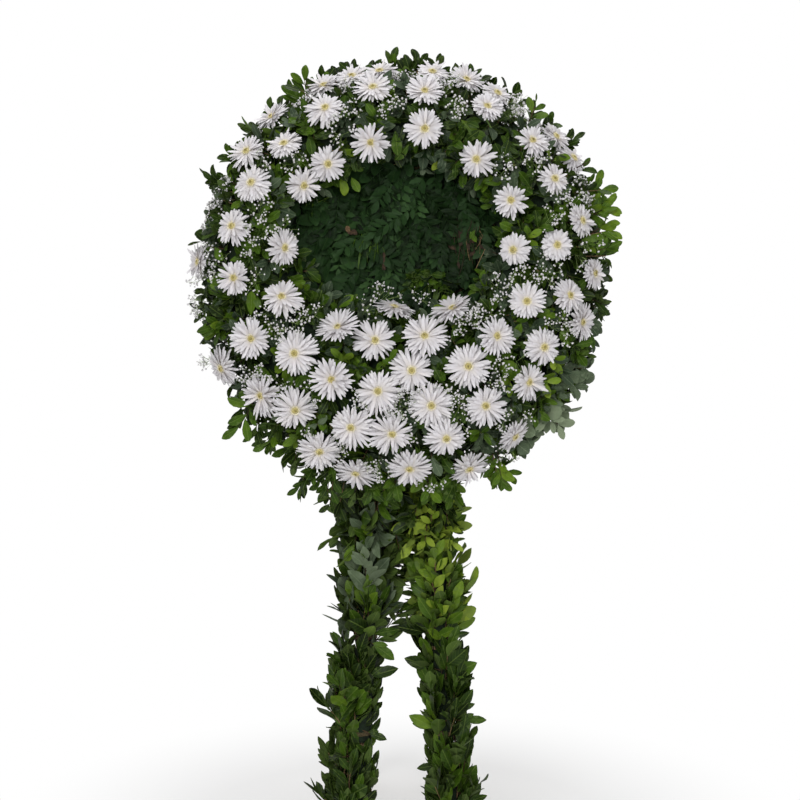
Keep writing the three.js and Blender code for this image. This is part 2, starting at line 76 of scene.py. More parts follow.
# Each pick carries one to three flowers: right and up from the wreath's middle in millimetres,
# then how far the flower nods up and turns right in degrees.
PICKS = (
    ((-180, 385),),
    ((50, 335),),
    ((-75, 305, -5, -12),),
    ((-275, 300, 22, 0),),
    ((-350, 210, 8, 0),),
    ((-395, 110),),
    ((-275, 60, 0, 15),),
    ((-280, -55, 24, 0),),
    ((170, 265),),
    ((285, -65),),
    ((215, -145, 0, 28),),
    ((-150, -125, 34, -36),),
    ((-70, 435), (50, 425)),
    ((-365, 290, -8, 16), (-310, 380, -14, 6)),
    ((-175, 255, 5, 8), (-230, 205)),
    ((50, -145, 6, 0), (-65, -155)),
    ((-20, -75, 30, 10), (115, -80, 40, 0)),
    ((385, -50, 12, 8), (415, -110, 0, 18)),
    ((-330, -280, 0, -8), (-250, -315, 0, 26)),
    ((-250, -185), (-165, -245)),
    ((195, 390), (300, 310)),
    ((325, -170, 0, 6), (290, -250, 0, 20)),
    ((190, -305), (150, -215)),
    ((155, -450), (260, -375, 0, 24)),
    ((-390, -10), (-480, 35)),
    ((-350, -150), (-425, -215)),
    ((250, 170), (255, 55)),
    ((-190, 462, -24, 0), (-122, 480, -30, 8), (-55, 490, -24, 0)),
    ((70, 492, -30, 0), (150, 470, -34, 0), (222, 435, -26, 0)),
    ((20, -225), (-58, -272), (65, -305)),
    ((-25, -370), (100, -380), (15, -450)),
    ((362, 335, -22, -14), (405, 285, -6, -24), (350, 220)),
    ((-120, -355), (-195, -410, 8, 24), (-110, -460)),
    ((415, 125, 0, 12), (445, 5, 0, 10), (355, 65)),
)

# Where baby's breath shows between the gerberas: right and up in millimetres, then how many sprays.
BABYS_BREATH = (
    (-40, 490, 4), (20, 470, 4), (-95, 470, 3), (-150, 450, 2), (-225, 440, 2), (105, 480, 2),
    (190, 445, 2), (260, 400, 2), (330, 350, 2), (435, 235, 2), (-345, 345, 2), (-465, 190, 2),
    (-120, 410, 3), (-10, 385, 2), (110, 425, 3), (170, 440, 2), (-250, 400, 3), (-150, 330, 2),
    (-235, 262, 2), (-410, 330, 2), (-300, 245, 2), (-425, 215, 3), (-330, 120, 3), (-455, 110, 3),
    (-430, 30, 2), (-330, 10, 3), (-335, 82, 2), (-440, -60, 2), (-222, -130, 4), (-310, -120, 3),
    (-90, -80, 3), (45, -95, 2), (-400, -170, 3), (-300, -215, 3), (-205, -300, 3), (-260, -250, 2),
    (-110, -300, 2), (-150, -400, 3), (-60, -415, 3), (-30, -320, 3), (30, -290, 3), (10, -330, 3),
    (60, -430, 2), (130, -330, 2), (120, -265, 3), (200, -230, 2), (215, -385, 2), (250, -310, 2),
    (250, -210, 2), (180, -95, 4), (225, -40, 3), (150, -130, 2), (340, -110, 3), (345, 10, 3),
    (310, 110, 2), (300, 235, 2), (375, 165, 4), (440, 180, 3), (250, 250, 2), (245, 345, 3),
    (120, 350, 2), (340, 390, 2), (390, 60, 2), (300, 0, 3), (-480, 150, 2), (-498, 20, 3),
)

# ---- Frames -------------------------------------------------------------------------------------


def unit(vector):
    vector = np.asarray(vector, float)
    return vector / np.linalg.norm(vector)


def lerp(low, high, share):
    return low + (high - low) * share


def up(height):
    return np.array((0, 0, height))


def heading(angle):
    return np.array((math.cos(angle), math.sin(angle), 0.0))


def astray(draws, amount=1):
    return np.array([draws.gauss(0, amount) for _ in range(3)])


def raised(out, lift):
    """The way that rises from a level one by an angle, and the way its upper side then faces."""
    return out * math.cos(lift) + up(math.sin(lift)), up(math.cos(lift)) - out * math.sin(lift)


def turned_about(vector, axis, angle):
    axis = unit(axis)
    c, s = math.cos(angle), math.sin(angle)
    return vector * c + np.cross(axis, vector) * s + axis * np.dot(axis, vector) * (1 - c)


def placed(origin, along, face):
    """The matrix that puts a shape's root at origin, its Y along one way, its Z towards another."""
    y = unit(along)
    x = unit(np.cross(y, face))
    matrix = np.eye(4)
    matrix[:3, 0], matrix[:3, 1], matrix[:3, 2], matrix[:3, 3] = x, y, np.cross(x, y), origin
    return matrix


def scaled(matrix, factor):
    grown = matrix.copy()
    grown[:3, :3] *= factor
    return grown

leg_low, leg_high = (np.array(corner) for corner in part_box("front_leg_right"))
LEG_HEIGHT = leg_high[2]
LEG_FOOT = np.array((leg_high[0] - BATTEN_WIDE / 2, leg_low[1] + BATTEN_DEEP / 2, 0.0))
LEG_HEAD = np.array((leg_low[0] + BATTEN_WIDE / 2, leg_high[1] - BATTEN_DEEP / 2, LEG_HEIGHT))
LEAN = math.atan2(LEG_HEAD[1] - LEG_FOOT[1], LEG_HEIGHT)

core_low, core_high = (np.array(corner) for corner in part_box("straw_core"))
FACING = np.array((0.0, -math.cos(LEAN), math.sin(LEAN)))
UPWARD = np.array((0.0, math.sin(LEAN), math.cos(LEAN)))
# The wreath's own frame: X right, Y up its face, Z towards the viewer, zero on the core's back.
WREATH = placed((core_low + core_high) / 2 - FACING * CORE_THICK / 2, UPWARD, FACING)


def leg_at(side, height):
    """The middle of a front leg at a height above the floor."""
    return lerp(LEG_FOOT, LEG_HEAD, height / LEG_HEIGHT) * (side, 1, 1)

# ---- The domed ring, as in the solids -----------------------------------------------------------

RING_BOUND = 0.97  # points over the ring stay this share of its half width from its middle line
WEDGE = FULL_TURN / SECTORS


def field_edge(direction):
    """Distance from the wreath's middle to the edge of the leafy field, in a direction."""
    c, s = math.cos(direction), math.sin(direction)
    a = (c / FIELD_RX) ** 2 + (s / FIELD_RY) ** 2
    b = c * FIELD_X / FIELD_RX**2 + s * FIELD_Y / FIELD_RY**2
    k = (FIELD_X / FIELD_RX) ** 2 + (FIELD_Y / FIELD_RY) ** 2 - 1
    return (b + math.sqrt(b * b - a * k)) / a


def ring_point(direction, across, lift):
    """A point over the ring's leaves and the way it faces: across is 0 at the rim, pi inside."""
    inner = field_edge(direction)
    half = (RING_OUTER - inner) / 2 + lift
    rise = RING_CROWN + lift
    r = (RING_OUTER + inner) / 2 + half * math.cos(across)
    point = heading(direction) * r
    point[2] = RING_AXIS + rise * math.sin(across)
    normal = heading(direction) * (math.cos(across) / half)
    normal[2] = math.sin(across) / rise
    return point, unit(normal)


def ring_point_over(x, y, lift):
    """The same, for a point right and up from the wreath's middle."""
    direction = math.atan2(y, x)
    inner = field_edge(direction)
    half = (RING_OUTER - inner) / 2 + lift
    share = (math.hypot(x, y) - (RING_OUTER + inner) / 2) / half
    share = min(max(share, -RING_BOUND), RING_BOUND)
    return ring_point(direction, math.acos(share), lift)


def draw(n):
    """The solids' repeatable number from 0 to 1."""
    s = math.sin(n * 127.1 + 11.7) * 43758.5453
    return s - math.floor(s)


class Flower:
    """Where a gerbera's middle is in the wreath's frame, which way it faces and how wide it is."""

    def __init__(self, number, x, y, nod=0, turn=0):
        self.number = number
        self.point, self.normal = ring_point_over(x * MM, y * MM, HEAD_LIFT)
        facing = turned_about(self.normal, (1, 0, 0), math.radians(-nod))
        self.facing = unit(turned_about(facing, (0, 1, 0), math.radians(turn)))
        self.low = y < LOW_LINE
        growth = (LOW_GROWTH if self.low else 1) * (RIGHT_GROWTH if x > RIGHT_LINE else 1)
        self.radius = lerp(HEAD_SMALL, HEAD_LARGE, draw(number)) * growth


flowers, picks = [], []
for places in PICKS:
    picks.append([Flower(len(flowers) + i, *place) for i, place in enumerate(places)])
    flowers.extend(picks[-1])
FLOWER_POINTS = np.array([flower.point for flower in flowers])
FLOWER_FACINGS = np.array([flower.facing for flower in flowers])
IN_FRONT = 90 * MM  # how far before a flower nothing may stand


def covers_a_flower(points, reach=1.0, below=9 * MM):
    """Whether any of these points in the wreath's frame is in a flower's petals or before them."""
    offsets = np.asarray(points)[:, None, :] - FLOWER_POINTS[None]
    heights = (offsets * FLOWER_FACINGS[None]).sum(2)
    spans = np.sqrt(np.maximum((offsets**2).sum(2) - heights**2, 0))
    near = (spans < HEAD_LARGE * reach) & (heights > -below) & (heights < IN_FRONT)
    return bool(near.any())


# ---- Meshes: many small shapes gathered into one ------------------------------------------------


def for_each(value, count):
    """One value for all, or the values as they are."""
    return np.full(count, value) if np.isscalar(value) else np.asarray(value, float)


class Shape:
    """Points and triangles. Each point keeps its place on its own leaf (across, along) and a tone,
    and each face its finish and whether it is on the underside."""

    def __init__(self, points, faces, places=(0.5, 0.5), under=0.0, finish=0, tone=0.0):
        self.points = np.asarray(points, float)
        self.faces = np.asarray(faces, int)
        self.places = np.broadcast_to(np.asarray(places, float), (len(self.points), 2))
        self.under = for_each(under, len(self.faces))
        self.finish = for_each(finish, len(self.faces))
        self.tones = for_each(tone, len(self.points))


class Gathering:
    """Shapes put in place one after another, to become one."""

    def __init__(self):
        self.parts = []
        self.count = 0

    def add(self, shape, matrix=None, tone=0.0, finish=None):
        points = shape.points
        if matrix is not None:
            points = points @ matrix[:3, :3].T + matrix[:3, 3]
        marks = shape.finish if finish is None else for_each(finish, len(shape.faces))
        faces = shape.faces + self.count
        self.parts.append((points, faces, shape.places, shape.under, marks, shape.tones + tone))
        self.count += len(points)

    def shape(self):
        return Shape(*(np.concatenate(column) for column in zip(*self.parts)))


def closed_skin(rings, start, end):
    """The points and triangles of a solid through rings of points, drawn to a point at each end."""
    around = len(rings[0])
    points = [start, *(point for ring in rings for point in ring), end]
    last = 1 + (len(rings) - 1) * around
    faces = []
    for k in range(around):
        j = (k + 1) % around
        faces.append((0, 1 + j, 1 + k))
        for a in range(1, last, around):
            b = a + around
            faces.extend(((a + k, a + j, b + j), (a + k, b + j, b + k)))
        faces.append((last + k, last + j, len(points) - 1))
    return points, faces


def blade(length, width, rows, bend=0.0, fold=0.0, twist=0.0, thick=0.9 * MM, wave=0.0):
    """A closed thin blade along Y, facing Z. Rows are (share along, share of the width). Its edges
    rise by fold and ripple by wave, it bends back by bend radians and turns by twist."""

    def spine(share):
        if abs(bend) < 1e-4:
            return np.array((0.0, length * share, 0.0)), 0.0
        angle = bend * share
        return np.array((0.0, math.sin(angle), math.cos(angle) - 1)) * (length / bend), angle

    def row_at(share, part):
        middle, slope = spine(share)
        roll = twist * share
        half = width * part / 2
        ripple = wave * width * math.sin(share * 11)
        corners = []
        for across, rise in (
            (-half, fold * half + ripple), (0, thick / 2),
            (half, fold * half - ripple), (0, -thick / 2),
        ):
            x = across * math.cos(roll) - rise * math.sin(roll)
            z = across * math.sin(roll) + rise * math.cos(roll)
            corners.append(middle + np.array((x, z * math.sin(slope), z * math.cos(slope))))
        return corners

    places = [(0.5, 0.0)]
    for share, part in rows:
        middle = (0.5, share)
        places.extend(((0.5 - part / 2, share), middle, (0.5 + part / 2, share), middle))
    points, faces = closed_skin([row_at(*row) for row in rows], np.zeros(3), spine(1.0)[0])
    under = np.repeat((0.0, 0.0, 1.0, 1.0), 2 * len(rows))
    return Shape(points, faces, [*places, (0.5, 1.0)], under)


def oval_rows(shares, widest, fullness):
    """Rows of a leaf whose outline is a swollen sine, widest at a share of its length."""
    power = math.log(0.5) / math.log(widest)
    return [(share, math.sin(math.pi * share**power) ** fullness) for share in shares]


def tube(path, radii, sides=6, tone=0.0):
    """A closed round tube through points, with a radius at each or one for all."""
    path = [np.asarray(point, float) for point in path]
    radii = for_each(radii, len(path))
    last = len(path) - 1
    rings, places = [], [(0.5, 0.0)]
    across = None
    for i, point in enumerate(path):
        along = unit(path[min(i + 1, last)] - path[max(i - 1, 0)])
        if across is None:
            across = unit(np.cross(along, (0.31, 0.57, 0.76)))
        across = unit(across - along * np.dot(across, along))
        other = np.cross(along, across)
        ring = []
        for k in range(sides):
            angle = FULL_TURN * k / sides
            ring.append(point + (across * math.cos(angle) + other * math.sin(angle)) * radii[i])
            places.append((k / sides, i / last))
        rings.append(ring)
    return Shape(*closed_skin(rings, path[0], path[-1]), [*places, (0.5, 1.0)], tone=tone)


def turned_profile(profile, segments, wobble=None):
    """A closed solid turned about Z from (radius, height) points that start and end on the axis."""
    rings, places = [], [(0.5, 0)]
    for i, (r, z) in enumerate(profile[1:-1]):
        ring = []
        for k in range(segments):
            angle = FULL_TURN * k / segments
            extra = wobble(angle, i) if wobble else 0.0
            ring.append((r * math.cos(angle), r * math.sin(angle), z + extra))
            places.append((k / segments, i / len(profile)))
        rings.append(ring)
    start, end = ((0, 0, profile[i][1]) for i in (0, -1))
    return Shape(*closed_skin(rings, start, end), [*places, (0.5, 1)])


def gem(radius, squash):
    """A small eight-faced bead."""
    corners = ((1, 0, 0), (-1, 0, 0), (0, 1, 0), (0, -1, 0), (0, 0, squash), (0, 0, -squash))
    faces = [(0, 2, 4), (2, 1, 4), (1, 3, 4), (3, 0, 4), (2, 0, 5), (1, 2, 5), (3, 1, 5), (0, 3, 5)]
    return Shape(np.array(corners) * radius, faces)


SHARP_ANGLE = math.radians(65)


def make_piece(name, shape, finishes, nodes=()):
    """Turns a gathered shape into a Blender object that rides on the stand and replaces solids."""
    mesh = bpy.data.meshes.new(name)
    mesh.from_pydata(shape.points.tolist(), [], shape.faces.tolist())
    for finish in finishes:
        mesh.materials.append(finish)
    mesh.polygons.foreach_set("material_index", shape.finish.astype(np.int32))
    mesh.polygons.foreach_set("use_smooth", np.ones(len(shape.faces), bool))
    layer = mesh.uv_layers.new(name="place")
    layer.data.foreach_set("uv", shape.places[shape.faces.ravel()].astype(np.float32).ravel())
    for label, domain, values in (("tone", "POINT", shape.tones), ("under", "FACE", shape.under)):
        marks = mesh.attributes.new(label, "FLOAT", domain)
        marks.data.foreach_set("value", values.astype(np.float32))
    mesh.set_sharp_from_angle(angle=SHARP_ANGLE)
    mesh.update()
    piece = bpy.data.objects.new(name, mesh)
    bpy.context.scene.collection.objects.link(piece)
    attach(piece, "root")
    if nodes:
        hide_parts(*nodes)
    return piece


# ---- Shared effects -----------------------------------------------------------------------------


def give(tree, node, values):
    """Links each named socket to what feeds it, or sets it to a plain value."""
    for key, value in values.items():
        if isinstance(value, bpy.types.NodeSocket):
            tree.links.new(value, node.inputs[key])
        else:
            node.inputs[key].default_value = value


def place_node(tree, kind, values=None, **settings):
    made = tree.nodes.new(kind)
    for key, value in settings.items():
        setattr(made, key, value)
    give(tree, made, values or {})
    return made


def math_node(tree, operation, *values, clamp=False):
    values = dict(enumerate(values))
    made = place_node(tree, "ShaderNodeMath", values, operation=operation, use_clamp=clamp)
    return made.outputs[0]


def times(tree, first, second, clamp=False):
    return math_node(tree, "MULTIPLY", first, second, clamp=clamp)


def plus(tree, first, second, clamp=False):
    return math_node(tree, "ADD", first, second, clamp=clamp)


def scaled_sum(tree, value, factor, offset):
    return math_node(tree, "MULTIPLY_ADD", value, factor, offset)


def mix_colours(tree, share, *colours):
    """A mix of two colours, each a socket or plain red, green and blue."""
    first, second = ((*c, 1.0) if isinstance(c, tuple) else c for c in colours)
    values = {0: share, 6: first, 7: second}
    return place_node(tree, "ShaderNodeMix", values, data_type="RGBA").outputs[2]


def colour_ramp(tree, share, stops):
    made = place_node(tree, "ShaderNodeValToRGB", {"Fac": share})
    ramp = made.color_ramp
    while len(ramp.elements) < len(stops):
        ramp.elements.new(0.5)
    for element, (position, colour) in zip(ramp.elements, stops):
        element.position = position
        element.color = (*colour, 1.0)
    return made.outputs["Color"]


def evenly(*colours):
    """Ramp stops at even steps."""
    return [(i / (len(colours) - 1), colour) for i, colour in enumerate(colours)]


def object_place(tree):
    return place_node(tree, "ShaderNodeTexCoord").outputs["Object"]


def leaf_place(tree):
    """Across and along a leaf or petal, from 0 to 1."""
    place = place_node(tree, "ShaderNodeUVMap", uv_map="place").outputs["UV"]
    split = place_node(tree, "ShaderNodeSeparateXYZ", {"Vector": place}).outputs
    return split["X"], split["Y"]


def noise_node(tree, values):
    return place_node(tree, "ShaderNodeTexNoise", values).outputs["Fac"]


def effect_group(name, inputs, outputs):
    """A new node group with number inputs (name: default) and named number outputs."""
    tree = bpy.data.node_groups.new(name, "ShaderNodeTree")
    for label, default in inputs.items():
        socket = tree.interface.new_socket(label, in_out="INPUT", socket_type="NodeSocketFloat")
        socket.default_value = default
    for label in outputs:
        tree.interface.new_socket(label, in_out="OUTPUT", socket_type="NodeSocketFloat")
    given = tree.nodes.new("NodeGroupInput").outputs
    return tree, given, tree.nodes.new("NodeGroupOutput")


def mottling():
    """Soft uneven patches and fine speckle over a surface."""
    tree, given, wanted = effect_group(
        "mottling",
        {"Patch Scale": 60.0, "Speckle Scale": 900.0, "Contrast": 1.0},
        ("Patches", "Speckle"),
    )
    spot = object_place(tree)
    for label, scale, roughness in (
        ("Patches", "Patch Scale", 0.55), ("Speckle", "Speckle Scale", 0.7),
    ):
        values = {"Vector": spot, "Scale": given[scale], "Detail": 3.0, "Roughness": roughness}
        centred = math_node(tree, "SUBTRACT", noise_node(tree, values), 0.5)
        swung = times(tree, centred, given["Contrast"])
        give(tree, wanted, {label: plus(tree, swung, 0.5, clamp=True)})
    return tree


def leaf_veins():
    """A midrib and slanted side veins, from a leaf's own across and along."""
    tree, given, wanted = effect_group(
        "leaf veins",
        {"Pairs": 8.0, "Slant": 0.55, "Midrib Width": 0.05},
        ("Midrib", "Veins", "Height", "Edge"),
    )
    across, along = leaf_place(tree)
    off_middle = math_node(tree, "ABSOLUTE", math_node(tree, "SUBTRACT", across, 0.5))
    off_rib = math_node(tree, "DIVIDE", off_middle, given["Midrib Width"])
    midrib = math_node(tree, "SUBTRACT", 1.0, off_rib, clamp=True)
    along = math_node(tree, "SUBTRACT", along, times(tree, off_middle, given["Slant"]))
    turns = times(tree, times(tree, along, given["Pairs"]), FULL_TURN)
    wave = times(tree, math_node(tree, "SINE", turns), 0.5)
    veins = math_node(tree, "POWER", plus(tree, wave, 0.5, clamp=True), 6.0)
    give(tree, wanted, {
        "Midrib": midrib,
        "Veins": veins,
        "Height": math_node(tree, "SUBTRACT", times(tree, veins, -0.4), midrib),
        "Edge": times(tree, off_middle, 2.0, clamp=True),
    })
    return tree


def long_fibres():
    """Streaks that run along one axis, for wood and straw."""
    tree, given, wanted = effect_group(
        "long fibres",
        {"Across X": 90.0, "Across Y": 90.0, "Along Z": 4.0, "Fineness": 5.0},
        ("Streaks", "Bands"),
    )
    stretch = place_node(
        tree, "ShaderNodeCombineXYZ",
        {"X": given["Across X"], "Y": given["Across Y"], "Z": given["Along Z"]},
    ).outputs[0]
    values = {0: object_place(tree), 1: stretch}
    pulled = place_node(tree, "ShaderNodeVectorMath", values, operation="MULTIPLY").outputs[0]
    fine = {"Vector": pulled, "Scale": given["Fineness"], "Detail": 6.0, "Roughness": 0.65}
    broad = {"Vector": pulled, "Scale": 0.55, "Detail": 2.0, "Distortion": 0.6}
    rings = math_node(tree, "SINE", times(tree, noise_node(tree, broad), 46.0))
    give(tree, wanted, {
        "Streaks": noise_node(tree, fine),
        "Bands": plus(tree, times(tree, rings, 0.5), 0.5),
    })
    return tree


MOTTLING = mottling()
LEAF_VEINS = leaf_veins()
LONG_FIBRES = long_fibres()


def effect(tree, group, values):
    return place_node(tree, "ShaderNodeGroup", values, node_tree=group).outputs


def mottled(tree, patch_scale, speckle_scale, contrast):
    """The patches and the speckle of a mottled surface."""
    values = {"Patch Scale": patch_scale, "Speckle Scale": speckle_scale, "Contrast": contrast}
    made = effect(tree, MOTTLING, values)
    return made["Patches"], made["Speckle"]


def attribute(tree, name):
    return place_node(tree, "ShaderNodeAttribute", attribute_name=name).outputs["Fac"]


def new_finish(name):
    material = bpy.data.materials.new(name)
    material.use_nodes = True
    tree = material.node_tree
    return material, tree, tree.nodes["Principled BSDF"]


def bumped(tree, height, strength, distance):
    values = {"Height": height, "Strength": strength, "Distance": distance}
    return place_node(tree, "ShaderNodeBump", values).outputs["Normal"]


# ---- Finishes -----------------------------------------------------------------------------------


def leaf_finish(name, stops, underside, gloss, shine, pairs, vein_tint):
    """A waxy leaf: its colour follows its tone, with a pale midrib and edge, faint veins and a dull
    underside. Gloss is its least roughness."""
    material, tree, shader = new_finish(name)
    patches, speckle = mottled(tree, 38.0, 700.0, 1.5)
    lines = effect(tree, LEAF_VEINS, {"Pairs": pairs, "Slant": 0.6, "Midrib Width": 0.045})
    shade = scaled_sum(tree, patches, 0.4, -0.2)
    colour = colour_ramp(tree, plus(tree, attribute(tree, "tone"), shade, clamp=True), stops)
    midrib, veins = times(tree, lines["Midrib"], 0.5), times(tree, lines["Veins"], 0.10)
    ribbed = plus(tree, midrib, veins)
    colour = mix_colours(tree, ribbed, colour, vein_tint)
    edge = times(tree, math_node(tree, "POWER", lines["Edge"], 6.0), 0.25)
    colour = mix_colours(tree, edge, colour, vein_tint)
    below = attribute(tree, "under")
    pale = mix_colours(tree, times(tree, ribbed, 0.6), underside, vein_tint)
    pale = mix_colours(tree, 0.55, pale, colour)
    worn = scaled_sum(tree, speckle, 0.16, gloss)
    grain = plus(tree, lines["Height"], times(tree, speckle, 0.25))
    give(tree, shader, {
        "Base Color": mix_colours(tree, below, colour, pale),
        "Roughness": plus(tree, worn, times(tree, below, 0.25)),
        "Specular IOR Level": shine,
        "Normal": bumped(tree, grain, 0.5, 0.4 * MM),
    })
    return material


def petal_finish():
    """White with a breath of lilac, cream at the base and where aged, with fine lengthwise ribs."""
    material, tree, shader = new_finish("gerbera petal")
    across, along = leaf_place(tree)
    patches, speckle = mottled(tree, 55.0, 1200.0, 1.3)
    ribs = math_node(tree, "SINE", times(tree, across, 38.0))
    ribs = plus(tree, times(tree, ribs, 0.5), 0.5)
    colour = colour_ramp(tree, along, (
        (0.0, (0.64, 0.53, 0.24)),
        (0.15, (0.67, 0.59, 0.43)),
        (0.30, (0.665, 0.620, 0.595)),
        (0.70, (0.690, 0.668, 0.690)),
        (1.0, (0.740, 0.732, 0.745)),
    ))
    colour = mix_colours(tree, times(tree, patches, 0.5), colour, (0.66, 0.625, 0.67))
    colour = mix_colours(tree, times(tree, ribs, 0.07), colour, (0.55, 0.50, 0.56))
    aged = times(tree, attribute(tree, "tone"), 1.0, clamp=True)
    give(tree, shader, {
        "Base Color": mix_colours(tree, aged, colour, (0.58, 0.53, 0.42)),
        "Roughness": scaled_sum(tree, speckle, 0.2, 0.48),
        "Specular IOR Level": 0.3,
        "Subsurface Weight": 0.42,
        "Subsurface Radius": (1.0, 1.0, 1.0),
        "Subsurface Scale": 2 * MM,
        "Normal": bumped(tree, plus(tree, ribs, speckle), 0.35, 0.25 * MM),
    })
    return material


def speckled_finish(name, stops, scale, rough, bump):
    """A small rough surface whose colour follows its tone and a fine speckle."""
    material, tree, shader = new_finish(name)
    patches, speckle = mottled(tree, scale, scale * 9, 1.8)
    shift = times(tree, math_node(tree, "SUBTRACT", patches, 0.5), 0.6)
    tone = plus(tree, attribute(tree, "tone"), shift, clamp=True)
    give(tree, shader, {
        "Base Color": colour_ramp(tree, tone, stops),
        "Roughness": scaled_sum(tree, speckle, 0.25, rough),
        "Specular IOR Level": 0.35,
        "Normal": bumped(tree, plus(tree, speckle, patches), bump, 0.6 * MM),
    })
    return material


def fibrous_finish(name, dark, light, stretch, fineness, rough, bump, knots=False, toned=False):
    """Wood or straw, streaked along one axis: stretch is how fine the streaks are along X, Y, Z."""
    material, tree, shader = new_finish(name)
    sockets = ("Across X", "Across Y", "Along Z", "Fineness")
    fibres = effect(tree, LONG_FIBRES, dict(zip(sockets, (*stretch, fineness))))
    patches, speckle = mottled(tree, 9.0, 420.0, 1.6)
    blend = times(tree, fibres["Streaks"], 0.7)
    if knots:
        blend = plus(tree, blend, times(tree, fibres["Bands"], 0.35))
    if toned:
        blend, tone = scaled_sum(tree, blend, 0.5, -0.12), attribute(tree, "tone")
        blend = plus(tree, blend, scaled_sum(tree, tone, 0.62, 0.0))
    colour = colour_ramp(tree, blend, ((0.15, dark), (0.75, light)))
    soil = times(tree, math_node(tree, "POWER", patches, 2.0), 0.55)
    give(tree, shader, {
        "Base Color": mix_colours(tree, soil, colour, tuple(0.45 * c for c in dark)),
        "Roughness": scaled_sum(tree, speckle, 0.2, rough),
        "Normal": bumped(tree, fibres["Streaks"], 0.7, bump),
    })
    return material


GLOSSY_LEAF = leaf_finish(
    "glossy leaf",
    (
        (0.0, (0.005, 0.012, 0.002)),
        (0.28, (0.018, 0.042, 0.004)),
        (0.55, (0.050, 0.104, 0.007)),
        (0.80, (0.115, 0.190, 0.014)),
        (1.0, (0.230, 0.310, 0.035)),
    ),
    underside=(0.105, 0.155, 0.042), gloss=0.24, shine=0.11,
    pairs=7.0, vein_tint=(0.17, 0.24, 0.05),
)
GREY_LEAF = leaf_finish(
    "grey-green leaf",
    evenly((0.030, 0.050, 0.025), (0.100, 0.138, 0.076), (0.205, 0.250, 0.155)),
    underside=(0.160, 0.200, 0.125), gloss=0.42, shine=0.18,
    pairs=6.0, vein_tint=(0.19, 0.24, 0.14),
)
# A darker kind of leaf, its colours darkened further as painted shade in the recessed field.
SHADED_FIELD_LEAF = leaf_finish(
    "field leaf, darker kind in painted shade",
    (
        (0.0, (0.0022, 0.0062, 0.0016)),
        (0.35, (0.0092, 0.0248, 0.0070)),
        (0.65, (0.0192, 0.0460, 0.0140)),
        (1.0, (0.038, 0.082, 0.024)),
    ),
    underside=(0.020, 0.036, 0.016), gloss=0.30, shine=0.06, pairs=9.0,
    vein_tint=(0.026, 0.048, 0.012),
)
PETAL = petal_finish()
EYE = speckled_finish(
    "gerbera eye",
    (
        (0.0, (0.24, 0.19, 0.06)),
        (0.35, (0.58, 0.50, 0.18)),
        (0.7, (0.76, 0.68, 0.36)),
        (1.0, (0.79, 0.73, 0.55)),
    ),
    scale=900.0, rough=0.55, bump=0.8,
)
CALYX = speckled_finish(
    "calyx and stem", evenly((0.05, 0.10, 0.02), (0.12, 0.21, 0.05), (0.25, 0.34, 0.11)),
    scale=160.0, rough=0.5, bump=0.4,
)
TWIG = speckled_finish(
    "twig bark", evenly((0.028, 0.016, 0.008), (0.098, 0.056, 0.026), (0.26, 0.175, 0.085)),
    scale=220.0, rough=0.7, bump=0.9,
)
BREATH = speckled_finish(
    "baby's breath floret", evenly((0.46, 0.45, 0.40), (0.64, 0.62, 0.63), (0.76, 0.75, 0.77)),
    scale=1500.0, rough=0.6, bump=0.6,
)
# The packing is a real bed of stems and leaf litter, but its near-black colour is painted shade.
SHADED_PACKING = speckled_finish(
    "leaf packing in painted shade", evenly((0.004, 0.008, 0.004), (0.012, 0.026, 0.010), (0.035, 0.050, 0.018)),
    scale=90.0, rough=0.85, bump=1.0,
)
TWINE = speckled_finish(
    "binding twine", evenly((0.08, 0.06, 0.03), (0.24, 0.18, 0.09), (0.42, 0.33, 0.19)),
    scale=700.0, rough=0.85, bump=0.9,
)
NAIL = speckled_finish(
    "zinc nail", evenly((0.20, 0.19, 0.18), (0.42, 0.41, 0.40), (0.60, 0.59, 0.57)),
    scale=300.0, rough=0.3, bump=0.3,
)
NAIL.node_tree.nodes["Principled BSDF"].inputs["Metallic"].default_value = 0.9

ALONG_GRAIN, ACROSS_GRAIN = 3.2, 95.0  # how fine the wood's streaks are each way


def batten_wood(name, *stretch):
    """Bare softwood whose grain runs along a batten."""
    dark, light = (0.20, 0.115, 0.050), (0.56, 0.385, 0.205)
    return fibrous_finish(name, dark, light, stretch, 1.6, 0.55, 0.5 * MM, knots=True)


UPRIGHT_WOOD = batten_wood("upright batten", ACROSS_GRAIN, ACROSS_GRAIN, ALONG_GRAIN)
LEVEL_WOOD = batten_wood("level batten", ALONG_GRAIN, ACROSS_GRAIN, ACROSS_GRAIN)
DEPTH_WOOD = batten_wood("front-to-back batten", ACROSS_GRAIN, ALONG_GRAIN, ACROSS_GRAIN)
STRAW = fibrous_finish(
    "straw", (0.13, 0.08, 0.025), (0.74, 0.58, 0.28), (160.0, 160.0, 160.0), 2.4, 0.7, 1.2 * MM,
    toned=True,
)

LEAF_FINISHES = (GLOSSY_LEAF, TWIG, SHADED_PACKING, SHADED_FIELD_LEAF, GREY_LEAF)
ON_LEAF, ON_TWIG, ON_SHADED_PACKING, ON_SHADED_FIELD, ON_GREY = range(5)

# ---- Leaves and twigs ---------------------------------------------------------------------------

LEAF_SHARES = (0.06, 0.24, 0.45, 0.66, 0.84, 0.95)  # where along it a leaf's rows of points lie
LEAFLET_SHARES = (0.12, 0.42, 0.74)
leaf_draws = random.Random(11)


def leaves_of(count, width, widest, fullness, bends, shares=LEAF_SHARES):
    """A stock of leaves of one sort, each one unit long, to be scaled where they are placed."""
    return [
        blade(
            1.0,
            width * leaf_draws.uniform(0.88, 1.12),
            oval_rows(shares, widest, fullness),
            bend=leaf_draws.uniform(*bends),
            fold=leaf_draws.uniform(0.08, 0.40),
            twist=leaf_draws.uniform(-0.40, 0.40),
            thick=0.016,
            wave=leaf_draws.uniform(0.0, 0.05),
        )
        for _ in range(count)
    ]


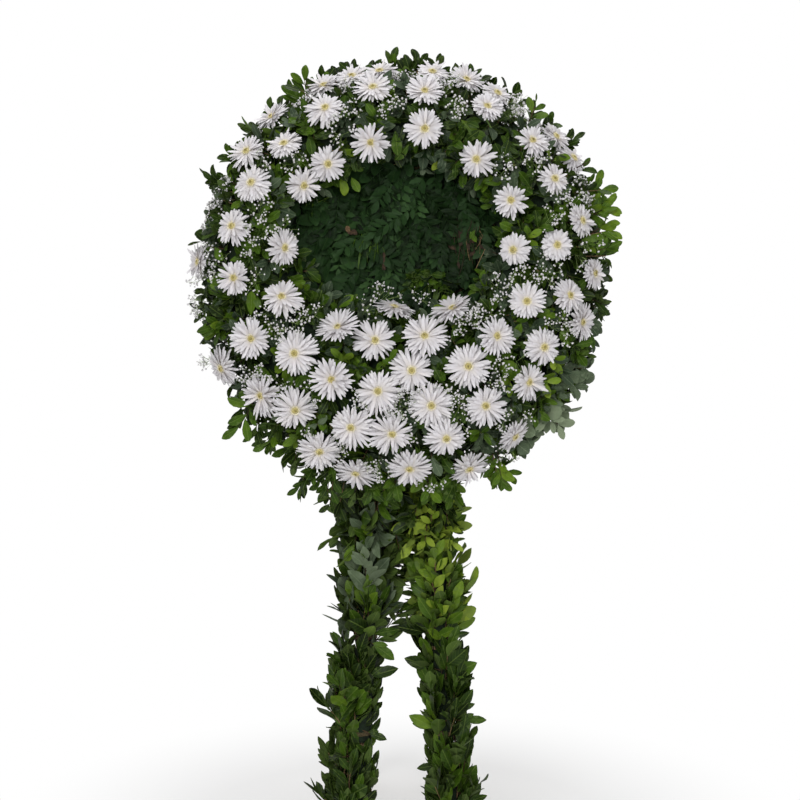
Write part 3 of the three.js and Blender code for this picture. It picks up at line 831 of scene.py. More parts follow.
GLOSSY_LEAVES = leaves_of(16, 0.47, 0.60, 0.66, (-0.2, 0.9))
LEAFLETS = leaves_of(8, 0.44, 0.50, 0.75, (-0.1, 0.5), LEAFLET_SHARES)
BROAD_LEAVES = leaves_of(8, 0.62, 0.52, 0.62, (0.0, 0.6))
ROUND_LEAVES = leaves_of(6, 0.74, 0.55, 0.55, (0.0, 0.5))
LEG_LEAVES = leaves_of(14, 0.42, 0.54, 0.84, (-0.25, 0.6))

# Points of a leaf one unit long that are tried against the flowers.
LEAF_PROBES = np.array(
    [(x, y, 0, 1) for x, y in ((0, 0.55), (0, 1.0), (0.15, 0.75), (-0.15, 0.75), (0, 0.25))]
)


def over_a_flower(whole):
    """Whether a leaf, placed by this matrix in the wreath's frame, would cover or cut a flower."""
    return covers_a_flower((LEAF_PROBES @ whole.T)[:, :3], reach=0.88)


class Twig:
    """A stem along Y and the leaves on it, each with its own matrix and tone."""

    def __init__(self, stem):
        self.stem = stem
        self.leaves = []

    def plant(self, gathering, matrix, tone, finish, stem_finish=ON_TWIG):
        for shape, own, own_tone in self.leaves:
            gathering.add(shape, matrix @ own, tone + own_tone, finish)
        gathering.add(self.stem, matrix, 0.0, stem_finish)

    def plant_on_wreath(self, gathering, local, tone, finish, stem_finish=ON_TWIG):
        """Plants it in the wreath's frame, without the leaves that would hide a flower."""
        for shape, own, own_tone in self.leaves:
            whole = local @ own
            if not over_a_flower(whole):
                gathering.add(shape, WREATH @ whole, tone + own_tone, finish)
        gathering.add(self.stem, WREATH @ local, 0.0, stem_finish)


def leafy_twig(
    draws, length, count, leaf_length, rises,
    first=0.25, thick=1.7 * MM, leaves=GLOSSY_LEAVES, flat=0.0,
):
    """A twig whose leaves spiral up it from the share first and close in a rosette. Rises are their
    angles off the level, in degrees, at the foot and at the top. A flat twig spreads that share of
    its leaves to both sides, facing its Z."""
    bow = np.array((draws.uniform(-0.16, 0.16), 0, draws.uniform(-0.16, 0.16))) * length

    def stem_at(share):
        return np.array((0, length * share, 0)) + bow * share * share

    shares = (0.0, 0.5, 1.0)
    radii = [lerp(thick, 0.5 * thick, s) for s in shares]
    twig = Twig(tube([stem_at(s) for s in shares], radii, 4, draws.random()))
    spin = draws.uniform(0, FULL_TURN)
    for i in range(count):
        share = lerp(first, 1.0, (i / max(count - 1, 1)) ** 0.8)
        angle = spin + i * GOLDEN_ANGLE + draws.uniform(-0.3, 0.3)
        if draws.random() < flat:
            angle = math.pi / 2 + (1 if i % 2 else -1) * draws.uniform(0.3, 1.7)
        out = np.array((math.cos(angle), 0, math.sin(angle)))
        side = np.array((-math.sin(angle), 0, math.cos(angle)))
        rise = math.radians(lerp(rises[0], rises[1], share) + draws.uniform(-12, 12))
        along = out * math.cos(rise) + np.array((0, math.sin(rise), 0))
        face = np.array((0, math.cos(rise), 0)) - out * math.sin(rise)
        face = face + side * draws.uniform(-0.45, 0.45)
        if draws.random() < flat:
            face = face + np.array((0, 0, 2.2))
            face = face - along * np.dot(face, along)
        size = leaf_length * draws.uniform(0.72, 1.12) * (1.0 - 0.22 * share)
        matrix = scaled(placed(stem_at(share) + out * thick * 0.4, along, face), size)
        twig.leaves.append((draws.choice(leaves), matrix, draws.uniform(-0.16, 0.16)))
    return twig


def feathered_spray(draws, length, pairs, leaflet):
    """A feathered leaf along Y, facing Z: paired leaflets on a thin rachis with one at its end."""
    bow = draws.uniform(-0.25, 0.05) * length
    sway = draws.uniform(-0.18, 0.18) * length

    def rachis_at(share):
        return np.array((sway * share * share, length * share, bow * share * share))

    radii = (0.9 * MM, 0.8 * MM, 0.65 * MM, 0.5 * MM)
    spray = Twig(tube([rachis_at(s) for s in (0.0, 0.33, 0.66, 1.0)], radii, 4, 0.6))
    for i in range(pairs):
        share = lerp(0.2, 0.95, i / (pairs - 1))
        for hand in (LEFT, RIGHT):
            slant = math.radians(draws.uniform(38, 62))
            along = (hand * math.sin(slant), math.cos(slant), draws.uniform(-0.25, 0.25))
            face = (hand * draws.uniform(-0.5, 0.2), draws.uniform(-0.2, 0.2), 1.0)
            size = leaflet * draws.uniform(0.82, 1.12) * (1.0 - 0.25 * abs(share - 0.5))
            matrix = scaled(placed(rachis_at(share), along, face), size)
            spray.leaves.append((draws.choice(LEAFLETS), matrix, draws.uniform(-0.12, 0.12)))
    end = scaled(placed(rachis_at(1.0), (0, 1, draws.uniform(-0.3, 0.1)), (0, 0, 1)), leaflet)
    spray.leaves.append((draws.choice(LEAFLETS), end, 0.0))
    return spray


# ---- The ring's leaves --------------------------------------------------------------------------

BED_DEPTH = 17 * MM  # how far the packing lies under the ring's face
# The packing's corners beside the core, from the middle out and up from the core's back.
BED_CORNERS = ((353 * MM, 81 * MM), (353 * MM, 5 * MM), (418 * MM, 5 * MM))


def ring_bed(sector):
    """The packing of stems and leaf litter that the twigs stand in, round the core's edge, coloured
    near black as painted shade in the depths of the leaves.
    """
    columns, rows = 22, 12
    rings = []
    for i in range(columns + 1):
        direction = sector * WEDGE + WEDGE * i / columns
        ring = []
        for k in range(rows + 1):
            lump = (draw(sector * 31 + i * 17 + k * 5) - 0.5) * 9 * MM if 0 < i < columns else 0.0
            ring.append(ring_point(direction, math.pi * k / rows, -BED_DEPTH + lump)[0])
        field_corner = (field_edge(direction) + 12 * MM, BED_CORNERS[0][1])
        ring.extend(heading(direction) * r + up(z) for r, z in (field_corner, *BED_CORNERS))
        rings.append(ring)
    middles = [np.mean(ring, axis=0) for ring in (rings[0], rings[-1])]
    points, faces = closed_skin(rings, *middles)
    return Shape(points, [face[::-1] for face in faces], finish=ON_SHADED_PACKING, tone=0.35)


# Clusters of leaves that stand out of the round outline: right and up from the middle in
# millimetres, the way they point in degrees from the right, then length, number of leaves, leaf
# size, tone and kind.
EDGE_CLUSTERS = (
    (425, 165, 18, 75, 5, 58, 0.72, "plain"),
    (434, 148, -8, 46, 6, 56, 0.62, "front"),
    (430, 60, 6, 60, 5, 58, 0.48, "front"),
    (440, -50, -28, 56, 4, 48, 0.12, "plain"),
    (426, -92, -48, 42, 4, 52, 0.46, "front"),
    (378, -148, 122, 40, 4, 56, 0.60, "front"),
    (246, -236, 112, 44, 4, 60, 0.50, "front"),
    (440, 96, 24, 52, 4, 52, 0.62, "front"),
    (400, 262, 30, 55, 3, 50, 0.70, "plain"),
    (362, -215, -28, 76, 7, 54, 0.54, "grey"),
    (318, -286, -46, 88, 6, 60, 0.92, "grey"),
    (402, -165, -36, 48, 5, 54, 0.46, "plain"),
    (292, -300, -60, 66, 6, 48, 0.62, "grey"),
    (345, -235, -35, 50, 6, 52, 0.58, "grey"),
    (258, -366, -46, 60, 6, 44, 0.34, "grey"),
    (230, -420, -66, 66, 6, 54, 0.64, "plain"),
    (205, -440, -54, 60, 4, 56, 0.60, "plain"),
    (120, -440, -84, 85, 7, 58, 0.48, "plain"),
    (60, -440, -95, 80, 8, 56, 0.60, "plain"),
    (-20, -440, -92, 85, 8, 56, 0.40, "plain"),
    (-95, -440, -97, 90, 8, 56, 0.30, "plain"),
    (-150, -430, -95, 135, 8, 54, 0.16, "plain"),
    (-172, -425, -102, 120, 8, 52, 0.22, "plain"),
    (-215, -405, -106, 105, 7, 54, 0.25, "plain"),
    (-250, -375, -112, 85, 7, 55, 0.34, "plain"),
    (-300, -345, -114, 78, 6, 56, 0.40, "plain"),
    (-352, -296, -106, 84, 6, 60, 0.44, "plain"),
    (-372, -270, -128, 60, 5, 56, 0.36, "plain"),
    (-412, -122, -158, 44, 5, 56, 0.58, "front"),
    (-406, -44, 160, 40, 5, 52, 0.56, "front"),
    (-366, -88, 100, 40, 4, 52, 0.56, "front"),
    (-440, 90, 165, 55, 3, 56, 0.42, "plain"),
    (-395, 225, 148, 66, 6, 54, 0.30, "plain"),
    (-372, 268, 140, 50, 6, 54, 0.34, "plain"),
    (-330, 315, 130, 68, 6, 52, 0.25, "plain"),
    (-205, 408, 118, 75, 6, 54, 0.42, "plain"),
    (-150, 425, 104, 70, 6, 54, 0.50, "plain"),
    (-90, 436, 98, 64, 5, 50, 0.36, "plain"),
    (-20, 440, 92, 62, 5, 48, 0.45, "plain"),
    (50, 440, 86, 60, 5, 48, 0.34, "plain"),
    (125, 428, 80, 62, 5, 50, 0.40, "plain"),
    (225, 405, 74, 60, 3, 56, 0.36, "plain"),
    (300, 352, 48, 62, 5, 52, 0.44, "plain"),
    (-325, 330, 138, 48, 5, 53, 0.34, "behind"),
    (-285, 375, 128, 55, 6, 53, 0.20, "behind"),
    (-236, 412, 112, 80, 6, 56, 0.46, "behind"),
    (-200, 430, 112, 69, 6, 62, 0.10, "behind"),
    (-160, 440, 104, 62, 6, 58, 0.12, "behind"),
    (-115, 450, 100, 64, 6, 55, 0.24, "behind"),
    (-70, 455, 95, 74, 6, 53, 0.16, "behind"),
    (-25, 458, 94, 74, 6, 53, 0.36, "behind"),
    (15, 458, 88, 69, 6, 55, 0.20, "behind"),
    (35, 458, 92, 75, 5, 53, 0.12, "behind"),
    (80, 455, 84, 66, 6, 53, 0.26, "behind"),
    (125, 446, 80, 62, 6, 53, 0.14, "behind"),
    (165, 436, 72, 62, 6, 53, 0.20, "behind"),
    (205, 425, 78, 66, 5, 55, 0.14, "behind"),
    (245, 400, 60, 50, 5, 50, 0.18, "behind"),
    (300, 370, 52, 66, 5, 50, 0.30, "behind"),
    (335, 335, 46, 60, 5, 50, 0.22, "behind"),
    (368, 298, 42, 66, 6, 52, 0.30, "behind"),
    (412, 212, 20, 66, 5, 54, 0.60, "plain"),
    (395, 255, 32, 56, 5, 50, 0.26, "behind"),
)
# For each kind: its leaves, how far above the core's back it stands in millimetres, and how far it
# leans towards the viewer.
CLUSTER_KINDS = {
    "plain": (GLOSSY_LEAVES, (70, 140), (-0.1, 0.3)),
    "grey": (GLOSSY_LEAVES[:9] + ROUND_LEAVES, (70, 140), (-0.1, 0.3)),
    "behind": (GLOSSY_LEAVES, (28, 74), (-0.05, 0.12)),
    "front": (GLOSSY_LEAVES, (150, 176), (0.0, 0.35)),
}

# Big fresh leaves that lie on the ring's face between the flowers: right and up from the middle in
# millimetres, the way they point in degrees from the right, their length and their tone.
FACE_LEAVES = (
    (-436, -80, 186, 62, 0.66), (-398, -96, 12, 58, 0.60), (-374, -116, 205, 52, 0.50),
    (-350, -66, 82, 58, 0.62), (-338, 126, 40, 58, 0.50), (-284, 120, 50, 62, 0.56),
    (-378, 38, 8, 54, 0.54), (-430, 52, -35, 52, 0.54), (-105, 388, -70, 62, 0.64),
    (-80, 376, -110, 60, 0.72), (-98, 360, -95, 56, 0.58), (-60, 362, -60, 54, 0.50),
    (154, 339, -50, 58, 0.62), (172, 326, -20, 50, 0.50), (-265, 356, 120, 56, 0.50),
    (-226, 333, -15, 52, 0.54), (-214, 300, -80, 52, 0.42), (-15, 309, -84, 58, 0.44),
    (-2, 290, -120, 52, 0.40), (128, 428, 60, 56, 0.38), (205, 220, 8, 54, 0.54),
    (276, 192, -86, 56, 0.46), (-300, 208, -125, 56, 0.46), (-182, 187, -30, 52, 0.58),
    (-326, -226, -40, 60, 0.46), (-254, -247, 20, 56, 0.48), (-97, -225, 66, 52, 0.56),
    (-74, -335, 96, 54, 0.44), (-54, -462, -82, 56, 0.62), (-72, -450, -115, 52, 0.56),
    (40, -420, -70, 56, 0.42), (79, -230, -60, 52, 0.38), (216, -372, -92, 56, 0.52),
    (196, -470, -64, 60, 0.62), (240, -226, 104, 62, 0.66), (256, -222, 124, 60, 0.58),
    (-16, -149, 20, 52, 0.44), (380, -150, 132, 60, 0.60), (396, -138, 70, 52, 0.48),
    (352, -176, -30, 54, 0.36), (404, 120, -60, 54, 0.50), (338, 60, 200, 52, 0.44),
    (300, -215, -40, 54, 0.36), (-160, -230, -15, 54, 0.40),
)
FACE_LIFT = 15 * MM  # how far over the ring's face those leaves lie

DULL_SHARE, DULLER = 0.36, -0.36  # the share of the ring's twigs with greyer leaves, and their tone
SIDE_RISES, EDGE_RISES, OUTER_RISES = (8, 52), (10, 52), (22, 60)


def ring_tone(point):
    """The leaves are brighter and duller in patches, and a little brighter to the right."""
    x, y = point[0], point[1]
    return 0.33 + 0.12 * math.sin(9 * x + 1.3) * math.cos(11 * y) + 0.03 * x


def sector_of(x, y):
    return int(math.atan2(y, x) % FULL_TURN / WEDGE)


def ring_leaves(sector):
    """A sixth of the ring: packing, leaves against it darkened as painted shade, twigs on the face
    and the rim, clusters that stand out, and big leaves between the flowers."""
    draws = random.Random(100 + sector)
    gathering = Gathering()
    gathering.add(ring_bed(sector), WREATH)

    def somewhere(i=0, count=1):
        """A direction in this sector, or in the i-th of its equal slices."""
        return sector * WEDGE + WEDGE * (i + draws.random()) / count

    def lay_leaf(point, along, face, size, tone, finish=ON_LEAF):
        whole = scaled(placed(point, along, face), size)
        if not over_a_flower(whole):
            gathering.add(draws.choice(GLOSSY_LEAVES), WREATH @ whole, tone, finish)

    def stand_twig(direction, across, depth, spread, outward, length, count, sizes, shift):
        """A twig whose foot is in the packing, leaning off the ring's normal by up to spread."""
        point, normal = ring_point(direction, math.radians(across), -depth * MM)
        aside = unit(np.cross(normal, heading(direction + draws.uniform(0, FULL_TURN))))
        along = normal + aside * draws.uniform(0, spread) + heading(direction) * outward
        size = draws.uniform(*sizes) * MM
        twig = leafy_twig(draws, length * MM, count, size, SIDE_RISES)
        tone = ring_tone(point) + shift()
        dull = draws.random() < DULL_SHARE
        tone, finish = (tone + DULLER, ON_GREY) if dull else (tone, ON_LEAF)
        twig.plant_on_wreath(gathering, placed(point, along, np.cross(along, aside)), tone, finish)

    # Leaves lying on the packing, all over, down to the field and round onto the back, given low
    # tones as painted shade deep in the foliage.
    for _ in range(130):
        direction = somewhere()
        across = draws.uniform(-8, 176)
        point, normal = ring_point(direction, math.radians(across), draws.uniform(-18, -9) * MM)
        aside = unit(np.cross(normal, heading(draws.uniform(0, FULL_TURN)) + (0, 0, 0.2)))
        along = aside + normal * draws.uniform(0.1, 0.5)
        tone, finish = draws.uniform(0.0, 0.30), ON_LEAF
        if across > 128:  # beside the field
            tone, finish = tone + 0.2, ON_SHADED_FIELD
        size = draws.uniform(42, 58) * MM
        lay_leaf(point - aside * 20 * MM, along, normal, size, tone, finish)
    for i in range(60):
        direction = somewhere(i, 60)
        point = heading(direction) * draws.uniform(0.346, 0.396) + up(draws.uniform(-1, 5) * MM)
        along = heading(direction + draws.gauss(0, 0.8)) + up(-0.10)
        face = (draws.gauss(0, 0.25), draws.gauss(0, 0.25), -1)
        lay_leaf(point, along, face, draws.uniform(40, 56) * MM, draws.uniform(0.1, 0.5))

    # Twigs over the ring's face, shorter and leaning out beside the field.
    for _ in range(66):
        direction, across = somewhere(), draws.uniform(26, 148)
        depth, outward, length = (34, 0.3, 40) if across > 112 else (26, 0, 50)
        stand_twig(
            direction, across, depth, 0.9, outward, length, 7, (50, 62),
            lambda: draws.choice((-0.20, -0.10, 0.0, 0.05, 0.12, 0.34)),
        )
    # Twigs round the rim and behind it, pointing out.
    for i in range(30):
        direction, across = somewhere(i, 30), draws.uniform(-14, 36)
        stand_twig(
            direction, across, 36, 0.7, 0.4, 56, 8, (46, 58), lambda: draws.uniform(-0.24, 0.14)
        )
    for i in range(13):
        direction = somewhere(i, 13)
        point = heading(direction) * 0.400 + up(0.024)
        along = heading(direction + draws.uniform(-0.5, 0.5)) + up(draws.uniform(-0.34, 0.05))
        twig = leafy_twig(draws, 50 * MM, 8, 50 * MM, EDGE_RISES)
        tone = 0.30 + draws.uniform(-0.1, 0.1)
        twig.plant_on_wreath(gathering, placed(point, along, (0, 0, 1)), tone, ON_LEAF)
    # The clusters that stand out.
    for x, y, way, length, count, size, tone, kind in EDGE_CLUSTERS:
        if sector_of(x, y) != sector:
            continue
        leaves, heights, leans = CLUSTER_KINDS[kind]
        finish = ON_GREY if kind == "grey" else ON_LEAF
        for _ in range(3 if kind == "grey" else 2):
            spot = np.array((x, y, 0)) * MM * 0.955 + heading(draws.uniform(0, FULL_TURN)) * 11 * MM
            spot[2] = draws.uniform(*heights) * MM
            along = heading(math.radians(way) + draws.gauss(0, 0.16)) + up(draws.uniform(*leans))
            twig = leafy_twig(
                draws, length * MM, count + 1, size * MM, OUTER_RISES, leaves=leaves, flat=0.8
            )
            shade = tone + draws.uniform(-0.22, 0.08)
            twig.plant_on_wreath(gathering, placed(spot, along, (0, 0, 1)), shade, finish)
    for x, y, way, length, tone in FACE_LEAVES:
        if sector_of(x, y) == sector:
            point, normal = ring_point_over(x * MM, y * MM, FACE_LIFT)
            aside = heading(math.radians(way))
            aside = unit(aside - normal * np.dot(aside, normal))
            face = normal + np.array((draws.gauss(0, 0.2), draws.gauss(0, 0.2), 0))
            point = point - aside * length / 2 * MM
            lay_leaf(point, aside + normal * 0.12, face, length * MM, tone)
    return gathering.shape()


# ---- The field's leaves -------------------------------------------------------------------------

# The packing's rings from its back to its front: share of the field's width, height in millimetres.
FIELD_BED = ((1.0, 81), (1.0, 90), (0.8, 97), (0.4, 99))
# A bright green mass low in the middle: right and up in millimetres, the way each twig points in
# degrees from the right, its leaf's length in millimetres, and its tone.
BRIGHT_MASS = (
    (22, 32, -70, 40, 0.24), (44, 30, -95, 40, 0.34), (62, 24, -70, 40, 0.28),
    (50, 4, -60, 42, 0.38), (30, 8, -115, 36, 0.22), (72, -4, -50, 40, 0.32),
    (84, 20, -80, 38, 0.30), (92, -4, -60, 40, 0.26),
)
# Parts of a browned leaf, and single light leaves, in the same way.
BROWNED_LEAF = ((-134, 122, -60, 18, 0.50), (-122, 112, -35, 18, 0.08), (-132, 108, -20, 18, 0.16))
LIGHT_LEAVES = (
    (-146, 240, -76, 50, 0.88), (-122, 236, -62, 42, 0.62), (88, 278, -128, 32, 0.98),
    (150, 232, 10, 40, 0.86), (158, 108, -60, 30, 0.60), (170, 112, -120, 26, 0.56),
)
GRASS_ROWS = ((0.1, 0.8), (0.5, 1.0), (0.85, 0.6))


def field_bed():
    """The packing behind the field's leaves, domed a little, coloured near black as painted shade.
    """
    around = 40
    rings = []
    for share, z in FIELD_BED:
        ring = []
        for i in range(around):
            x, y, _ = heading(FULL_TURN * i / around)
            lump = (draw(i * 7 + z * 3) - 0.5) * 7
            x, y = FIELD_X + FIELD_RX * share * x, FIELD_Y + FIELD_RY * share * y
            ring.append((x, y, (z + lump) * MM))
        rings.append(ring)
    back, front = ((FIELD_X, FIELD_Y, height * MM) for height in (81, 100))
    return Shape(*closed_skin(rings, back, front), finish=ON_SHADED_PACKING, tone=0.25)


def field_leaves():
    """The recessed field: feathered sprays hanging every way, broad leaves, and a few dry bits."""
    draws = random.Random(200)
    gathering = Gathering()
    gathering.add(field_bed(), WREATH)

    def spread_out(i, count, reach, turn=0):
        """The i-th of so many evenly scattered places in a round field one unit in radius."""
        return heading(i * GOLDEN_ANGLE + turn) * math.sqrt((i + 0.5) / count) * reach

    def in_field(out, least, most):
        height = draws.uniform(least, most) * MM
        return np.array((FIELD_X + FIELD_RX * out[0], FIELD_Y + FIELD_RY * out[1], height))

    def at(x, y, z):
        return np.array((x, y, z)) * MM

    def lay(leaves, x, y, z, along, face, size, tone, finish=ON_LEAF):
        whole = scaled(placed(at(x, y, z), along, face), size * MM)
        gathering.add(draws.choice(leaves), WREATH @ whole, tone, finish)

    def stick(path, radii, sides, tone):
        gathering.add(tube(path, radii, sides, tone), WREATH, 0.0, ON_TWIG)

    # Dark leaves against the packing, with broad ones hanging like shingles, mostly on the left,
    # where the broad ones get a lighter tone as painted light against the ring's shadow.
    for i in range(340):
        out = spread_out(i, 340, 1.02)
        root = in_field(out, 99, 112)
        broad = out[0] + 0.35 * draws.gauss(0, 1) < -0.15
        swing = draws.gauss(-math.pi / 2, 0.8)
        along = heading(swing) + up(draws.uniform(0.1, 0.7))
        size = draws.uniform(*((42, 60) if broad else (32, 44))) * MM
        root -= heading(swing) * size / 2
        face = np.array((draws.uniform(-0.5, 0.5), draws.uniform(-0.1, 0.7), 1.0))
        whole = scaled(placed(root, along, face), size)
        if not over_a_flower(whole):
            leaf = draws.choice(BROAD_LEAVES if broad else GLOSSY_LEAVES)
            # Painted light: the broad leaves are lightened where the ring shades the field.
            tone = draws.uniform(0.05, 0.55) + (0.26 if broad else 0.08)
            gathering.add(leaf, WREATH @ whole, tone, ON_SHADED_FIELD)

    # Feathered sprays hanging from the top, mostly in the middle and on the right.
    for i in range(74):
        out = spread_out(i, 74, 0.93, 1)
        if out[0] < -0.35 and draws.random() < 0.6:
            continue
        swing = draws.gauss(-math.pi / 2 - 0.1, 0.42)
        root = in_field(out, 104, 122)
        root -= heading(swing) * 52 * MM
        along = heading(swing) + up(draws.uniform(0.02, 0.30))
        face = np.array((draws.uniform(-0.35, 0.35), draws.uniform(0.0, 0.4), 1.0))
        length = draws.uniform(105, 150) * MM
        spray = feathered_spray(draws, length, draws.randint(7, 9), draws.uniform(30, 38) * MM)
        tone = draws.choice((0.15, 0.3, 0.45, 0.6, 0.8))
        spray.plant_on_wreath(gathering, placed(root, along, face), tone, ON_SHADED_FIELD, ON_SHADED_FIELD)

    # What stands out there: the bright green mass, yellowing blades left of it, a browned leaf, and
    # a cut twig end.
    for x, y, way, size, tone in BRIGHT_MASS:
        twig = leafy_twig(draws, 44 * MM, 7, size * MM, (15, 55), leaves=LEAFLETS, flat=0.5)
        local = placed(at(x, y, 122), heading(math.radians(way)) + (0, 0, 0.5), (0, 0.4, 1))
        twig.plant_on_wreath(gathering, local, tone, ON_LEAF, ON_SHADED_FIELD)
    for _ in range(30):
        x, y = draws.uniform(-112, -56), draws.uniform(76, 112)
        length, width = draws.uniform(38, 66) * MM, draws.uniform(2.6, 4.6) * MM
        grass = blade(length, width, GRASS_ROWS, bend=draws.uniform(-0.3, 0.9), thick=0.5 * MM)
        way = heading(math.radians(draws.gauss(-88, 24))) + up(draws.uniform(0.0, 0.5))
        local = placed(at(x, y, 128), way, (draws.gauss(0, 0.4), 0.2, 1))
        gathering.add(grass, WREATH @ local, draws.uniform(0.18, 0.52), ON_LEAF)
    for x, y, way, size, tone in BROWNED_LEAF:
        along = heading(math.radians(way)) + (0, 0, 0.4)
        lay(BROAD_LEAVES, x, y, 134, along, (0, 0.2, 1), size, tone, ON_TWIG)
    cut_twig = [at(-46, 78, 128), at(-44, 50, 138), at(-45, 17, 141)]
    stick(cut_twig, (3.4 * MM, 4.2 * MM, 4.8 * MM), 8, 0.05)

    # On the right, brown stems with dead leaves and a straw. Then the light leaves.
    for i in range(16):
        x, y = draws.uniform(122, 182), draws.uniform(96, 166)
        length = draws.uniform(50, 110)
        sway = draws.uniform(-22, 22)
        path = [
            at(x, y, 116),
            at(x + 0.7 * sway, y - 0.35 * length, 127),
            at(x + 0.2 * sway, y - 0.7 * length, 130),
            at(x - 0.5 * sway, y - length, 124),
        ]
        radii = (0.95 * MM, 0.9 * MM, 0.8 * MM, 0.6 * MM)
        stick(path, radii, 4, draws.choice((-0.4, -0.2, 0.0, 0.7)))
        if i % 2:
            face = (draws.gauss(0, 0.6), draws.gauss(0, 0.6), 1)
            way, size = heading(draws.uniform(0, FULL_TURN)), draws.uniform(18, 28)
            lay(LEAFLETS, *(path[2] / MM), way, face, size, draws.uniform(-0.4, 0.05), ON_TWIG)
    straw = [at(170, 16, 140), at(181, 40, 148), at(196, 72, 140)]
    stick(straw, (0.9 * MM, 0.9 * MM, 0.8 * MM), 5, 1.3)
    for x, y, way, size, tone in LIGHT_LEAVES:
        along = heading(math.radians(way)) + (0, 0, 0.2)
        lay(GLOSSY_LEAVES, x, y, 142, along, (0.1, 0.1, 1), size, tone)
    return gathering.shape()


# ---- Gerberas -----------------------------------------------------------------------------------

BLOOM_FINISHES = (PETAL, EYE, CALYX)
ON_PETAL, ON_EYE, ON_CALYX = range(3)
PETAL_ROWS = ((0.06, 0.50), (0.36, 0.98), (0.78, 0.96), (0.965, 0.46))
TONGUE_ROWS = ((0.15, 0.7), (0.7, 1.0))
BRACT_ROWS = ((0.10, 0.8), (0.55, 1.0))
# Outlines from the axis out and back to it: radius and height in millimetres.
EYE_OUTLINE = ((0, -2), (7, -2), (8.8, 1), (7.6, 4), (4, 5.6), (0, 6))
CUP_OUTLINE = ((0, -13), (2.6, -12.6), (5.5, -10), (9.5, -5), (10.5, -2), (8, -0.6), (0, -0.6))
TONGUES, FLORETS_IN_EYE, BRACTS = 30, 72, 12
BRACT_RISE = (0.82, 0.57)  # how far a bract reaches out and forward for its length


def in_metres(outline):
    return [(r * MM, z * MM) for r, z in outline]


def add_petals(gathering, draws, radius):
    """Three rows of petals. A wild head has more stray, turned and missing ones."""
    age = draws.random()
    wild = draws.random() ** 1.6
    cup = draws.uniform(-6, 12)
    droop = draws.uniform(0.05, 0.30)
    longer_way = draws.uniform(0, FULL_TURN)
    lopsided = draws.uniform(0.0, 0.13)
    gaps = [draws.uniform(0, FULL_TURN) for _ in range(draws.randint(1, 3))]
    # Each row: petals, reach of the radius, root radius, elevation in degrees, height, width.
    rows = (
        (draws.randint(31, 35), 1.00, 5.0 * MM, cup - 2, -1.2 * MM, 1.0),
        (draws.randint(27, 31), 0.95, 4.6 * MM, cup + 5, 0.4 * MM, 1.0),
        (draws.randint(18, 21), 0.70, 4.2 * MM, cup + 10, 1.8 * MM, 1.06),
    )
    for count, reach, root, elevation, height, broader in rows:
        spin = draws.uniform(0, FULL_TURN)
        for i in range(count):
            if draws.random() < 0.02 + 0.18 * wild:
                continue
            angle = spin + FULL_TURN * (i + draws.gauss(0, 0.14 + 0.2 * wild)) / count
            offsets = ((angle - gap + math.pi) % FULL_TURN - math.pi for gap in gaps)
            from_gap = min(offsets, key=abs)
            angle += math.copysign(0.09 * math.exp(-((from_gap / 0.22) ** 2)), from_gap)
            size = 0.96 + lopsided * math.cos(angle - longer_way)
            out = heading(angle)
            side = heading(angle + math.pi / 2)
            stray = draws.uniform(12, 38) if draws.random() < 0.03 + 0.10 * wild else 0
            lift = math.radians(elevation + stray + draws.gauss(0, 3.0 + 4 * wild))
            along, face = raised(out, lift)
            along = along + side * draws.gauss(0, 0.04 + 0.10 * wild)
            face = face + side * draws.gauss(0, 0.05 + 0.18 * wild)
            petal = blade(
                (radius - root) * reach * size * draws.uniform(0.87, 1.10),
                draws.uniform(6.4, 8.2) * MM * broader,
                PETAL_ROWS,
                bend=droop + draws.uniform(-0.05, 0.22),
                fold=draws.uniform(-0.03, 0.09),
                twist=draws.gauss(0, 0.08 + 0.25 * wild),
                thick=0.55 * MM,
            )
            tone = max(0.0, draws.gauss(0.02, 0.05)) * (1 + age)
            gathering.add(petal, placed(out * root + up(height), along, face), tone, ON_PETAL)


def add_eye(gathering, draws):
    """A ring of short cream tongues round a low dome of small florets, darker in the middle."""
    for i in range(TONGUES):
        out = heading(FULL_TURN * (i + draws.uniform(-0.3, 0.3)) / TONGUES)
        along, face = raised(out, math.radians(draws.uniform(28, 55)))
        length = draws.uniform(5, 8) * MM
        tongue = blade(length, 2.2 * MM, TONGUE_ROWS, bend=0.6, fold=0.3, thick=0.5 * MM)
        gathering.add(tongue, placed(out * 6.4 * MM + up(2 * MM), along, face), 1.1, ON_EYE)
    gathering.add(turned_profile(in_metres(EYE_OUTLINE), 14), None, 0.35, ON_EYE)
    for i in range(FLORETS_IN_EYE):
        share = math.sqrt((i + 0.5) / FLORETS_IN_EYE)
        out = heading(i * GOLDEN_ANGLE) * share * 8.1 * MM
        height = lerp(6.1, 3.4, share**2) * MM + draws.uniform(-0.3, 0.5) * MM
        tone = 0.12 if share < 0.40 else lerp(0.30, 0.95, share)
        bead = scaled(np.eye(4), draws.uniform(0.85, 1.2))
        bead[:3, 3] = out + up(height)
        gathering.add(gem(0.85 * MM, 1.7), bead, tone + draws.uniform(-0.12, 0.12), ON_EYE)


def add_cup(gathering, draws):
    """The green cup behind the petals, with two rings of bracts."""
    gathering.add(turned_profile(in_metres(CUP_OUTLINE), 12), None, 0.3, ON_CALYX)
    outward, forward = BRACT_RISE
    for ring, (height, length, radius) in enumerate(((-7.5, 12, 7.4), (-10.5, 9, 4.6))):
        for i in range(BRACTS):
            out = heading(FULL_TURN * (i + 0.5 * ring + draws.uniform(-0.15, 0.15)) / BRACTS)
            along, face = out * outward + up(forward), out * -forward + up(outward)
            bract = blade(length * MM, 4.2 * MM, BRACT_ROWS, bend=-0.3, fold=0.4, thick=0.7 * MM)
            place = placed(out * radius * MM + up(height * MM), along, face)
            gathering.add(bract, place, draws.uniform(0.3, 0.8), ON_CALYX)


def gerbera(draws, radius):
    """A head facing +Z with its middle at the origin."""
    gathering = Gathering()
    add_petals(gathering, draws, radius)
    add_eye(gathering, draws)
    add_cup(gathering, draws)
    return gathering.shape()


